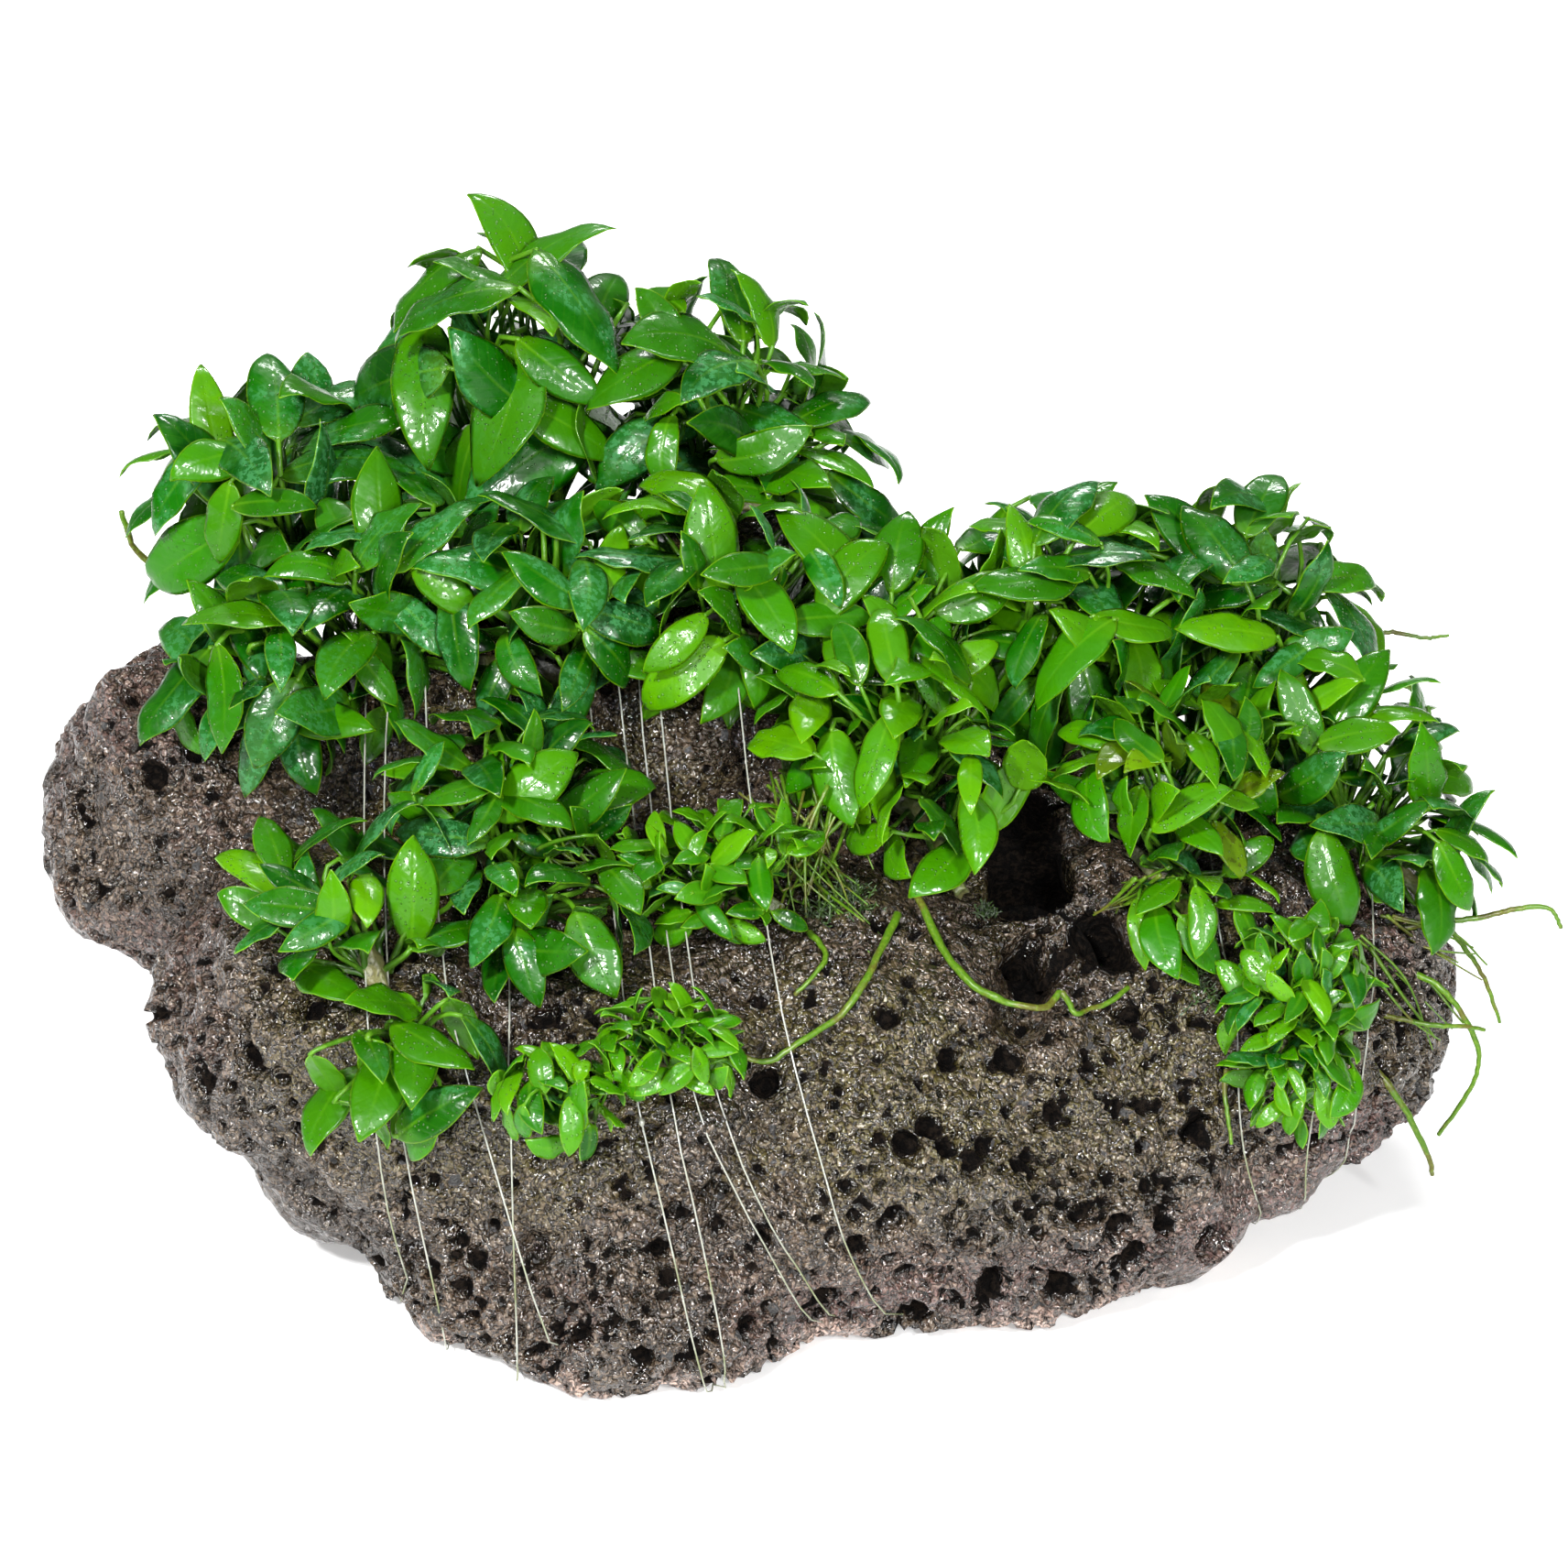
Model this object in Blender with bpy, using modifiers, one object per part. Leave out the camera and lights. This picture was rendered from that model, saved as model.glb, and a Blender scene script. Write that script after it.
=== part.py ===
"""Anubias on stone: small aquarium plants tied onto one lava stone with nylon line.

The stone is one solid that stands on its flattened underside. Each plant is a creeping
rhizome pressed onto the stone, with one leaf mass over it. Long roots hang from the plants,
and loops of line run round the stone, over the rhizomes and through grooves underneath.

+X runs along the stone, its front faces -Y and +Z is up. The origin is on the underside.
Sizes and places are in millimetres, and the meshes are made in metres.
"""

import math

import bmesh
import bpy
from mathutils import Matrix, Vector, noise
from mathutils.bvhtree import BVHTree

MM = 0.001

# The stone's lumps, as (centre, radii): a sloping front, a high ridge behind it to the left,
# a lobe at the back left and a lower lobe at the right.
STONE_LUMPS = [
    ((-12, -22, 26), (76, 42, 37)),
    ((-62, -18, 37), (41, 38, 29)),
    ((-28, -42, 9), (37, 30, 22)),
    ((24, -28, 16), (50, 33, 30)),
    ((-42, 36, 48), (47, 34, 41)),
    ((-12, 38, 54), (34, 30, 41)),
    ((-93, 30, 46), (31, 29, 31)),
    ((16, 24, 34), (40, 36, 38)),
    ((66, 2, 30), (46, 42, 33)),
    ((86, 0, 30), (28, 30, 24)),
    ((54, 22, 34), (36, 32, 28)),
    ((-20, 30, 18), (60, 38, 26)),
]
# Open hollows in the front, as (centre, radii).
HOLLOWS = [
    ((38, -10, 60), (7.5, 13, 7)),
    ((38, -32, 50), (5, 10, 7)),
]
# Shallow scallops, as (centre, reach, depth).
DENTS = [
    ((12, -52, 28), 17, 3.5),
    ((52, -46, 26), 20, 3.0),
    ((-78, -46, 34), 18, 3.0),
    ((-40, -66, 16), 16, 2.5),
    ((96, -22, 30), 16, 2.5),
    ((-118, 20, 56), 20, 3.5),
    ((0, 66, 50), 30, 6.0),
    ((-70, 66, 40), 26, 5.0),
    ((60, 50, 40), 26, 5.0),
]
STONE_VOXEL = 2.6
STONE_TRIANGLES = 1800
STONE_SMOOTHING = 6
ROUGH_LAYERS = [(36.0, 4.6), (15.0, 3.0), (7.0, 1.2)]

RHIZOME_RADIUS = 2.3
RHIZOME_SINK = 0.9
STONE_GAP = 0.5
LEAF_GAP = 4.4
GAP = 0.4

# Each plant: name, the points its rhizome creeps through, and its leaf mass as ellipsoids.
# A rhizome point is put on the stone's surface nearest to it.
PLANTS = [
    ("back_left", [(-88, 40, 84), (-78, 44, 88), (-68, 48, 90)],
     [((-82, 46, 98), (23, 20, 19))]),
    ("peak", [(-56, 52, 90), (-46, 54, 92), (-38, 50, 92)],
     [((-44, 56, 114), (22, 19, 26))]),
    ("back_centre", [(-26, 48, 92), (-14, 46, 92), (-4, 42, 90)],
     [((-14, 52, 110), (22, 20, 23)), ((2, 44, 100), (16, 15, 14))]),
    ("mid_left", [(-88, 16, 72), (-76, 18, 78), (-64, 20, 80)],
     [((-80, 16, 82), (21, 19, 17)), ((-60, 22, 94), (18, 16, 17))]),
    ("mid_centre", [(-50, 18, 82), (-40, 16, 82), (-32, 12, 80)],
     [((-40, 16, 92), (20, 19, 19))]),
    ("mid_right", [(-22, 18, 84), (-12, 22, 84), (0, 20, 80)],
     [((-14, 18, 94), (20, 18, 18)), ((6, 22, 90), (17, 17, 15))]),
    ("centre", [(12, 2, 70), (22, -4, 68), (30, -12, 64)],
     [((15, 2, 80), (18, 17, 17)), ((28, -14, 72), (17, 15, 15)), ((24, 20, 88), (17, 15, 17))]),
    ("right_back", [(42, 20, 66), (50, 24, 66), (58, 24, 66)],
     [((47, 22, 86), (20, 18, 23))]),
    ("right_peak", [(66, 22, 62), (76, 22, 58), (84, 20, 56)],
     [((76, 28, 84), (21, 18, 23))]),
    ("right_end", [(84, 6, 52), (92, 4, 48), (98, 2, 42)],
     [((90, 10, 66), (19, 18, 19)), ((97, -2, 56), (19, 16, 12))]),
    ("right_front", [(56, -6, 62), (62, -14, 60), (66, -24, 54)],
     [((62, -4, 72), (18, 17, 16)), ((64, -20, 56), (16, 14, 14))]),
    ("right_plantlets", [(76, -24, 46), (80, -28, 42), (82, -34, 34)],
     [((80, -34, 49), (13, 13, 14)), ((81, -42, 40), (9, 9, 12))]),
    ("front_left", [(-72, -24, 58), (-66, -34, 54), (-60, -44, 46)],
     [((-67, -30, 59), (23, 19, 18)), ((-60, -48, 45), (18, 14, 15))]),
    ("front_centre", [(-50, -10, 68), (-42, -20, 66), (-38, -34, 58)],
     [((-44, -10, 72), (20, 17, 16)), ((-38, -32, 60), (18, 15, 16))]),
    ("rosettes", [(-16, -20, 66), (-8, -24, 64), (0, -26, 62)],
     [((-10, -26, 68), (17, 12, 12))]),
    ("bright_rosette", [(-22, -54, 51), (-17, -55, 50), (-12, -54, 50)],
     [((-17, -60, 57), (11, 9, 9))]),
    ("front_rosette", [(-38, -58, 46), (-34, -59, 45), (-29, -59, 45)],
     [((-34, -64, 51), (11, 9, 9))]),
]
LEAF_VOXEL = 4.0
LEAF_TRIANGLES = 80
LEAF_CLEARANCE_TRIANGLES = 500

# Each long root: name, radius, whether it lies on the stone, and its points.
ROOTS = [
    ("curling", 0.7, True,
     [(21, -20, 62), (27, -34, 55), (36, -40, 54), (45, -36, 56), (48, -40, 53), (53, -36, 55)]),
    ("crossing", 0.65, True, [(18, -26, 61), (11, -40, 53), (1, -48, 48), (-8, -48, 47)]),
    ("short", 0.55, True, [(4, -30, 60), (7, -35, 57), (2, -40, 54)]),
    ("end_reaching", 0.6, False,
     [(99, -8, 47), (106, -9, 49), (113, -9, 50), (119, -8, 51), (124, -8, 51), (126, -9, 48)]),
    ("end_upper", 0.5, False,
     [(103, -6, 52), (109, -8, 46), (114, -10, 39), (117, -11, 31)]),
    ("end_middle", 0.6, False,
     [(98, -14, 44), (106, -18, 42), (112, -20, 33), (112, -20, 25), (107, -20, 15)]),
    ("end_lower", 0.65, False, [(92, -26, 36), (99, -30, 28), (104, -31, 18), (105, -30, 14)]),
    ("end_level", 0.5, False, [(95, -22, 40), (103, -24, 39), (109, -23, 38), (113, -21, 36)]),
    ("back_left_curl", 0.8, False, [(-96, 56, 80), (-104, 58, 78), (-110, 58, 82), (-112, 57, 90)]),
    ("back_upper", 0.45, False, [(96, 36, 76), (101, 38, 77), (107, 38, 76), (111, 37, 77)]),
    ("back_lower", 0.45, False, [(99, 30, 70), (104, 32, 70), (108, 32, 64), (108, 30, 58)]),
    ("front_drop", 0.5, True, [(70, -34, 38), (70, -38, 34), (71, -42, 28)]),
]
ROOT_STEPS = 2

# Each loop of line is in the plane of three points: on the front shoulder, on the front's
# lower edge and on the ridge. The last value is how far it stands off, where lines cross.
LINES = [
    ("left_outer", (-64, -52, 46), (-62, -56, 0), (-70, 45, 96), 0.0),
    ("left_second", (-60, -54, 46), (-53, -64, 0), (-65, 45, 96), 0.0),
    ("left_slanting", (-50, -57, 50), (-31, -72, 0), (-60, 45, 96), 1.8),
    ("left_upright", (-43, -58, 50), (-42, -70, 0), (-46, 45, 96), 0.0),
    ("middle_first", (-23, -57, 50), (-11, -72, 0), (-35, 45, 96), 0.0),
    ("middle_second", (-18, -57, 50), (-7, -72, 0), (-31, 45, 96), 0.0),
    ("middle_third", (-14, -57, 50), (8, -70, 0), (-27, 45, 96), 0.0),
    ("middle_fourth", (-11, -57, 50), (11, -69, 0), (-22, 45, 96), 0.0),
    ("middle_fifth", (1, -56, 50), (19, -67, 0), (-8, 45, 96), 0.0),
    ("right_first", (72, -40, 42), (77, -36, 0), (69, 20, 64), 0.0),
    ("right_second", (85, -34, 42), (81, -34, 0), (86, 20, 62), 0.0),
    ("right_third", (94, -28, 40), (89, -28, 0), (95, 16, 56), 0.0),
]
LINE_RADIUS = 0.2
LINE_SIDES = 20
LINE_SLAB = 1.2
LINE_STEP = 1.0
GROOVE_LEVEL = 0.6
GROOVE_WIDTH = 1.6
GROOVE_TOP = 1.3
TUBE_RESOLUTION = 0


def point(xyz):
    """A place given in millimetres, in metres."""
    return Vector(xyz) * MM


def clear_scene():
    for old in list(bpy.data.objects):
        bpy.data.objects.remove(old)


def new_collection(name):
    made = bpy.data.collections.new(name)
    bpy.context.scene.collection.children.link(made)
    return made


def new_material(name, colour, roughness):
    made = bpy.data.materials.new(name)
    made.use_nodes = True
    shader = made.node_tree.nodes["Principled BSDF"]
    shader.inputs["Base Color"].default_value = (*colour, 1.0)
    shader.inputs["Roughness"].default_value = roughness
    shader.inputs["Metallic"].default_value = 0.0
    return made


def new_object(name, mesh, collection, material=None):
    made = bpy.data.objects.new(name, mesh)
    collection.objects.link(made)
    if material:
        mesh.materials.clear()
        mesh.materials.append(material)
    return made


def evaluated_mesh(source):
    """The object's mesh with its modifiers applied. The object is removed."""
    bpy.context.view_layer.update()
    depsgraph = bpy.context.evaluated_depsgraph_get()
    mesh = bpy.data.meshes.new_from_object(source.evaluated_get(depsgraph))
    mesh.transform(source.matrix_world)
    bpy.data.objects.remove(source)
    return mesh


def ellipsoids(name, lumps, segments=24):
    """One mesh with a ball for each (centre, radii)."""
    bm = bmesh.new()
    for centre, radii in lumps:
        place = Matrix.Translation(point(centre)) @ Matrix.Diagonal((*point(radii), 1.0))
        bmesh.ops.create_uvsphere(
            bm, u_segments=segments, v_segments=segments // 2, radius=1.0, matrix=place
        )
    mesh = bpy.data.meshes.new(name)
    bm.to_mesh(mesh)
    bm.free()
    return mesh


def cut(mesh, cutter, cutters):
    """The mesh less the cutter's volume, as its largest piece."""
    target = new_object("cut_target", mesh, cutters)
    tool = new_object("cutter", cutter, cutters)
    tool.hide_render = True
    tool.display_type = "WIRE"
    boolean = target.modifiers.new("cut", "BOOLEAN")
    boolean.operation = "DIFFERENCE"
    boolean.solver = "EXACT"
    boolean.object = tool
    made = evaluated_mesh(target)
    bpy.data.objects.remove(tool)
    keep_largest(made)
    return made


def keep_largest(mesh):
    """Keeps the connected piece of the largest volume."""
    bm = bmesh.new()
    bm.from_mesh(mesh)
    bmesh.ops.triangulate(bm, faces=bm.faces)
    islands = []
    waiting = set(bm.verts)
    while waiting:
        reached = {waiting.pop()}
        front = list(reached)
        while front:
            vert = front.pop()
            for edge in vert.link_edges:
                other = edge.other_vert(vert)
                if other in waiting:
                    waiting.discard(other)
                    reached.add(other)
                    front.append(other)
        islands.append(reached)

    def volume(island):
        faces = {face for vert in island for face in vert.link_faces}
        total = 0.0
        for face in faces:
            a, b, c = (vert.co for vert in face.verts)
            total += a.dot(b.cross(c)) / 6
        return total

    islands.sort(key=volume)
    loose = [vert for island in islands[:-1] for vert in island]
    bmesh.ops.delete(bm, geom=loose, context="VERTS")
    bm.to_mesh(mesh)
    bm.free()


def inflated(mesh, distance):
    """A copy with each vertex moved out along its normal."""
    copy = mesh.copy()
    normals = [Vector(normal.vector) for normal in mesh.vertex_normals]
    for vert, normal in zip(copy.vertices, normals):
        vert.co += normal * distance * MM
    return copy


def fat_copy(mesh, distance, voxel, triangles, cutters):
    """A coarse closed skin at a distance outside the mesh."""
    body = new_object("fat_copy", inflated(mesh, distance), cutters)
    melt = body.modifiers.new("melt", "REMESH")
    melt.mode = "VOXEL"
    melt.voxel_size = voxel * MM
    return decimated(evaluated_mesh(body), triangles, cutters)


def remeshed(name, lumps, voxel, smoothing, cutters):
    """The lumps melted into one skin."""
    body = new_object(name, ellipsoids(name, lumps), cutters)
    melt = body.modifiers.new("melt", "REMESH")
    melt.mode = "VOXEL"
    melt.voxel_size = voxel * MM
    soften = body.modifiers.new("soften", "SMOOTH")
    soften.factor = 0.5
    soften.iterations = smoothing
    return evaluated_mesh(body)


def decimated(mesh, triangles, cutters):
    """The mesh brought down to about this many triangles."""
    mesh.calc_loop_triangles()
    share = min(1.0, triangles / len(mesh.loop_triangles))
    body = new_object("decimated", mesh, cutters)
    fewer = body.modifiers.new("fewer", "DECIMATE")
    fewer.decimate_type = "COLLAPSE"
    fewer.ratio = share
    fewer.use_collapse_triangulate = True
    return evaluated_mesh(body)


def roughened(mesh, layers, seed):
    """Moves the skin in and out by layers of smooth noise, each (size, depth)."""
    normals = [Vector(normal.vector) for normal in mesh.vertex_normals]
    for vert, normal in zip(mesh.vertices, normals):
        shift = 0.0
        for size, depth in layers:
            place = vert.co / (size * MM) + Vector((seed, 2 * seed, 3 * seed))
            shift += depth * noise.noise(place)
        vert.co += normal * shift * MM


def dented(mesh, dents):
    """Presses shallow scallops into the skin."""
    normals = [Vector(normal.vector) for normal in mesh.vertex_normals]
    for vert, normal in zip(mesh.vertices, normals):
        for centre, reach, depth in dents:
            near = (vert.co - point(centre)).length / (reach * MM)
            if near < 1.0:
                vert.co -= normal * depth * MM * (1.0 - near * near) ** 2


def flatten_base(mesh):
    """Cuts off all below the standing level and closes the cut."""
    bm = bmesh.new()
    bm.from_mesh(mesh)
    every = bm.verts[:] + bm.edges[:] + bm.faces[:]
    bmesh.ops.bisect_plane(
        bm, geom=every, dist=0.001 * MM, plane_co=(0, 0, 0), plane_no=(0, 0, 1), clear_inner=True
    )
    rim = [edge for edge in bm.edges if edge.is_boundary]
    bmesh.ops.edgeloop_fill(bm, edges=rim)
    for vert in bm.verts:
        if abs(vert.co.z) < 0.01 * MM:
            vert.co.z = 0.0
    bmesh.ops.recalc_face_normals(bm, faces=bm.faces)
    bm.to_mesh(mesh)
    bm.free()


def make_stone_mesh(cutters):
    """The stone without its grooves, and its skin as it was before the hollows."""
    mesh = remeshed("stone_form", STONE_LUMPS, STONE_VOXEL, STONE_SMOOTHING, cutters)
    dented(mesh, DENTS)
    roughened(mesh, ROUGH_LAYERS, 3.7)
    whole_skin = skin_tree(mesh)
    mesh = cut(mesh, ellipsoids("hollows", HOLLOWS, 16), cutters)
    mesh = decimated(mesh, STONE_TRIANGLES, cutters)
    flatten_base(mesh)
    keep_largest(mesh)
    return mesh, whole_skin


def tube(name, points, radius, cyclic=False, taper=None):
    """A round tube along points in metres, closed at its ends or into a ring."""
    curve = bpy.data.curves.new(name, "CURVE")
    curve.dimensions = "3D"
    curve.bevel_depth = radius * MM
    curve.bevel_resolution = TUBE_RESOLUTION
    curve.use_fill_caps = True
    spline = curve.splines.new("POLY")
    spline.points.add(len(points) - 1)
    for index, place in enumerate(points):
        spline.points[index].co = (*place, 1.0)
        if taper:
            spline.points[index].radius = taper(index / (len(points) - 1))
    spline.use_cyclic_u = cyclic
    holder = bpy.data.objects.new(name, curve)
    bpy.context.scene.collection.objects.link(holder)
    mesh = evaluated_mesh(holder)
    bpy.data.curves.remove(curve)
    bm = bmesh.new()
    bm.from_mesh(mesh)
    bmesh.ops.remove_doubles(bm, verts=bm.verts, dist=0.01 * MM)
    bmesh.ops.recalc_face_normals(bm, faces=bm.faces)
    bm.to_mesh(mesh)
    bm.free()
    return mesh


def smooth_route(points, steps):
    """Points along a Catmull-Rom curve through the given ones."""
    ends = [2 * points[0] - points[1]] + points + [2 * points[-1] - points[-2]]
    route = []
    for a, b, c, d in zip(ends, ends[1:], ends[2:], ends[3:]):
        for step in range(steps):
            t = step / steps
            route.append(
                0.5 * (2 * b + (c - a) * t + (2 * a - 5 * b + 4 * c - d) * t * t
                       + (3 * b - a - 3 * c + d) * t ** 3)
            )
    route.append(points[-1])
    return route


def skin_tree(mesh):
    return BVHTree.FromPolygons(
        [vert.co for vert in mesh.vertices], [face.vertices[:] for face in mesh.polygons]
    )


def on_skin(tree, places, height):
    """Each place moved to the nearest point of the skin, and off it by a height."""
    route = []
    for place in places:
        found, normal, _, _ = tree.find_nearest(place)
        route.append(found + normal * height * MM)
    return route


def rhizome_route(stone_tree, places):
    route = on_skin(stone_tree, [point(place) for place in places], RHIZOME_RADIUS - RHIZOME_SINK)
    return smooth_route(route, 2)


def rhizome_taper(along):
    """Full for most of its length, and narrower at both ends."""
    return 0.7 + 0.3 * math.sin(math.pi * min(1.0, max(0.0, along)))


def root_taper(along):
    return 1.0 - 0.45 * along


def hull_support(points_2d, angle):
    """How far the points reach in a direction."""
    return max(u * math.cos(angle) + w * math.sin(angle) for u, w in points_2d)


def slab_section(meshes, origin, normal, across, up):
    """Where a thin slab cuts the meshes' edges, in the plane's own two directions."""
    found = []
    for shift in (-LINE_SLAB * MM, 0.0, LINE_SLAB * MM):
        for mesh in meshes:
            sides = [(vert.co - origin).dot(normal) - shift for vert in mesh.vertices]
            for edge in mesh.edges:
                a, b = edge.vertices
                if sides[a] * sides[b] >= 0:
                    continue
                t = sides[a] / (sides[a] - sides[b])
                place = mesh.vertices[a].co.lerp(mesh.vertices[b].co, t) - origin
                found.append((place.dot(across), place.dot(up)))
    return found


def line_route(meshes, shoulder, edge, ridge, standoff):
    """The taut loop round what the plane of three places cuts, and its own directions."""
    origin = point(shoulder)
    normal = (point(edge) - origin).cross(point(ridge) - origin).normalized()
    across = normal.cross(Vector((0, 0, 1))).normalized()
    up = across.cross(normal).normalized()
    if up.z < 0:
        up = -up
    section = slab_section(meshes, origin, normal, across, up)
    reach = (LINE_RADIUS + GAP + standoff) * MM
    supports = []
    for side in range(LINE_SIDES):
        angle = 2 * math.pi * (side + 0.5) / LINE_SIDES
        supports.append((angle, hull_support(section, angle) + reach))
    corners = []
    for (angle_a, reach_a), (angle_b, reach_b) in zip(supports, supports[1:] + supports[:1]):
        turn = math.sin(angle_b - angle_a)
        u = (reach_a * math.sin(angle_b) - reach_b * math.sin(angle_a)) / turn
        w = (reach_b * math.cos(angle_a) - reach_a * math.cos(angle_b)) / turn
        corners.append(origin + across * u + up * w)
    route = []
    for here, after in zip(corners, corners[1:] + corners[:1]):
        places = [here] if here.z > GROOVE_LEVEL * MM else []
        if (here.z - GROOVE_LEVEL * MM) * (after.z - GROOVE_LEVEL * MM) < 0:
            places.append(here.lerp(after, (GROOVE_LEVEL * MM - here.z) / (after.z - here.z)))
        for place in places:
            if not route or (place - route[-1]).length > LINE_STEP * MM:
                route.append(place)
            elif place.z < route[-1].z:
                route[-1] = place
    return route, across


def groove_cutter(route, across):
    """A bar along the loop's run under the stone."""
    low = [place for place in route if place.z < (GROOVE_LEVEL + 0.01) * MM]
    low.sort(key=lambda place: place.dot(across))
    start, end = low[0], low[-1]
    along = (end - start).normalized()
    middle = (start + end) / 2
    turn = along.to_track_quat("X", "Z").to_matrix().to_4x4()
    bottom = -2.0
    height = (GROOVE_TOP - bottom) * MM
    middle.z = (GROOVE_TOP + bottom) / 2 * MM
    size = ((end - start).length + 12 * MM, GROOVE_WIDTH * MM, height)
    bm = bmesh.new()
    bmesh.ops.create_cube(
        bm, size=1.0, matrix=Matrix.Translation(middle) @ turn @ Matrix.Diagonal((*size, 1.0))
    )
    mesh = bpy.data.meshes.new("groove")
    bm.to_mesh(mesh)
    bm.free()
    return mesh


def touching(mesh_a, mesh_b):
    """True if the two meshes' boxes meet."""
    for axis in range(3):
        a = [vert.co[axis] for vert in mesh_a.vertices]
        b = [vert.co[axis] for vert in mesh_b.vertices]
        if max(a) < min(b) or max(b) < min(a):
            return False
    return True


def main():
    clear_scene()
    parts = new_collection("anubias_on_stone")
    cutters = new_collection("cutters")
    stone_finish = new_material("lava_stone", (0.075, 0.055, 0.045), 0.5)
    rhizome_finish = new_material("rhizome", (0.12, 0.19, 0.04), 0.5)
    leaf_finish = new_material("leaf", (0.05, 0.32, 0.02), 0.3)
    root_finish = new_material("root", (0.16, 0.26, 0.05), 0.5)
    line_finish = new_material("tie_line", (0.8, 0.82, 0.75), 0.2)

    stone, stone_tree = make_stone_mesh(cutters)
    rhizome_clearance = inflated(stone, STONE_GAP)
    leaf_clearance = fat_copy(stone, LEAF_GAP, LEAF_VOXEL, LEAF_CLEARANCE_TRIANGLES, cutters)

    rhizomes = []
    leaf_cutters = []
    for name, places, _ in PLANTS:
        route = rhizome_route(stone_tree, places)
        mesh = tube(name, route, RHIZOME_RADIUS, taper=rhizome_taper)
        mesh = cut(mesh, rhizome_clearance.copy(), cutters)
        rhizomes.append(mesh)
        new_object(f"rhizome_{name}", mesh, parts, rhizome_finish)
        leaf_cutters.append(tube(name, route, RHIZOME_RADIUS + GAP, taper=rhizome_taper))

    wrapped = [stone] + rhizomes
    for name, radius, lies, places in ROOTS:
        places = [point(place) for place in places]
        if lies:
            places = on_skin(stone_tree, places, radius + 2 * GAP)
        route = smooth_route(places, ROOT_STEPS)
        mesh = tube(name, route, radius, taper=root_taper)
        mesh = cut(mesh, rhizome_clearance.copy(), cutters)
        new_object(f"root_{name}", mesh, parts, root_finish)
        if lies:
            wrapped.append(mesh)
        leaf_cutters.append(tube(name, route, radius + GAP, taper=root_taper))

    for name, shoulder, edge, ridge, standoff in LINES:
        route, across = line_route(wrapped, shoulder, edge, ridge, standoff)
        new_object(f"line_{name}", tube(name, route, LINE_RADIUS, True), parts, line_finish)
        leaf_cutters.append(tube(name, route, LINE_RADIUS + GAP, True))
        stone = cut(stone, groove_cutter(route, across), cutters)
    new_object("stone", stone, parts, stone_finish)

    masses = []
    for name, _, lumps in PLANTS:
        mesh = remeshed(name, lumps, LEAF_VOXEL, 3, cutters)
        roughened(mesh, [(14.0, 3.0)], 1.3)
        masses.append(decimated(mesh, LEAF_TRIANGLES, cutters))
    for index, (name, _, _) in enumerate(PLANTS):
        mesh = masses[index].copy()
        mesh = cut(mesh, leaf_clearance.copy(), cutters)
        for cutter in leaf_cutters:
            if touching(mesh, cutter):
                mesh = cut(mesh, cutter.copy(), cutters)
        for earlier in masses[:index]:
            if touching(mesh, earlier):
                mesh = cut(mesh, inflated(earlier, GAP), cutters)
        new_object(f"leaves_{name}", mesh, parts, leaf_finish)


main()
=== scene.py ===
"""The looks of an aquarium ornament: small-leaved anubias tied onto a dark lava stone."""
import math

import bmesh
import bpy
import numpy as np
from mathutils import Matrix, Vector, noise
from mathutils.bvhtree import BVHTree
from mathutils.kdtree import KDTree


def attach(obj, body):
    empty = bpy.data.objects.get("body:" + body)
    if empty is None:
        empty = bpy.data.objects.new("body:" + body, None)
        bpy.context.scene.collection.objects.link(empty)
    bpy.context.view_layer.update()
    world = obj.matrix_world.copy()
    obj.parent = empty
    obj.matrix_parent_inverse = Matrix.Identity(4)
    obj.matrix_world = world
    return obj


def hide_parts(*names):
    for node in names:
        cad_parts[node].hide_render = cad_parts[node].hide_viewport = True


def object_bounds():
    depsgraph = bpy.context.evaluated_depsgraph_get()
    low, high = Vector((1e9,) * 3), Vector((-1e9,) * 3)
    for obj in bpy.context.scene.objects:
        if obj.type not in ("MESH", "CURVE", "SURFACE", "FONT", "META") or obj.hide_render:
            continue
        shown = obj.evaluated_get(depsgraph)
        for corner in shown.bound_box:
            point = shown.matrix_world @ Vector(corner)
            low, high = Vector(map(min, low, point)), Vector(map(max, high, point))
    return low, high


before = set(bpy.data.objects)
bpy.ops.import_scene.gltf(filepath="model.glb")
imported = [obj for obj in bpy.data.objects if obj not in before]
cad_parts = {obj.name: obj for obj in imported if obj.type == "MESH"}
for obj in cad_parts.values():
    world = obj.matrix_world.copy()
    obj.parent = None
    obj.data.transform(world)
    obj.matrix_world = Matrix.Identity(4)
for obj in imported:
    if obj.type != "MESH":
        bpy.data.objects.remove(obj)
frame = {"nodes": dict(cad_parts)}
CAD_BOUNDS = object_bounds()

MM = 0.001
UP = np.array([0.0, 0.0, 1.0])

# ---------------------------------------------------------------- camera and light

TARGET = Vector((0.0, 0.0, 69.7)) * MM
DISTANCE = 850 * MM
ELEVATION = math.radians(30)
FIELD_WIDTH = 253.4 * MM
SENSOR = 36.0
# The way up the picture, to tell what lies above what from the front.
VIEW_UP = np.array([0.0, math.sin(ELEVATION), math.cos(ELEVATION)])


def add_camera():
    """The photograph's view: from the front, looking down by the elevation."""
    data = bpy.data.cameras.new("camera")
    data.sensor_width = SENSOR
    data.lens = SENSOR * DISTANCE / FIELD_WIDTH
    data.clip_start = 0.01
    camera = bpy.data.objects.new("camera", data)
    bpy.context.scene.collection.objects.link(camera)
    offset = Vector((0.0, -math.cos(ELEVATION), math.sin(ELEVATION))) * DISTANCE
    camera.location = TARGET + offset
    camera.rotation_euler = (math.pi / 2 - ELEVATION, 0.0, 0.0)
    bpy.context.scene.camera = camera


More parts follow.
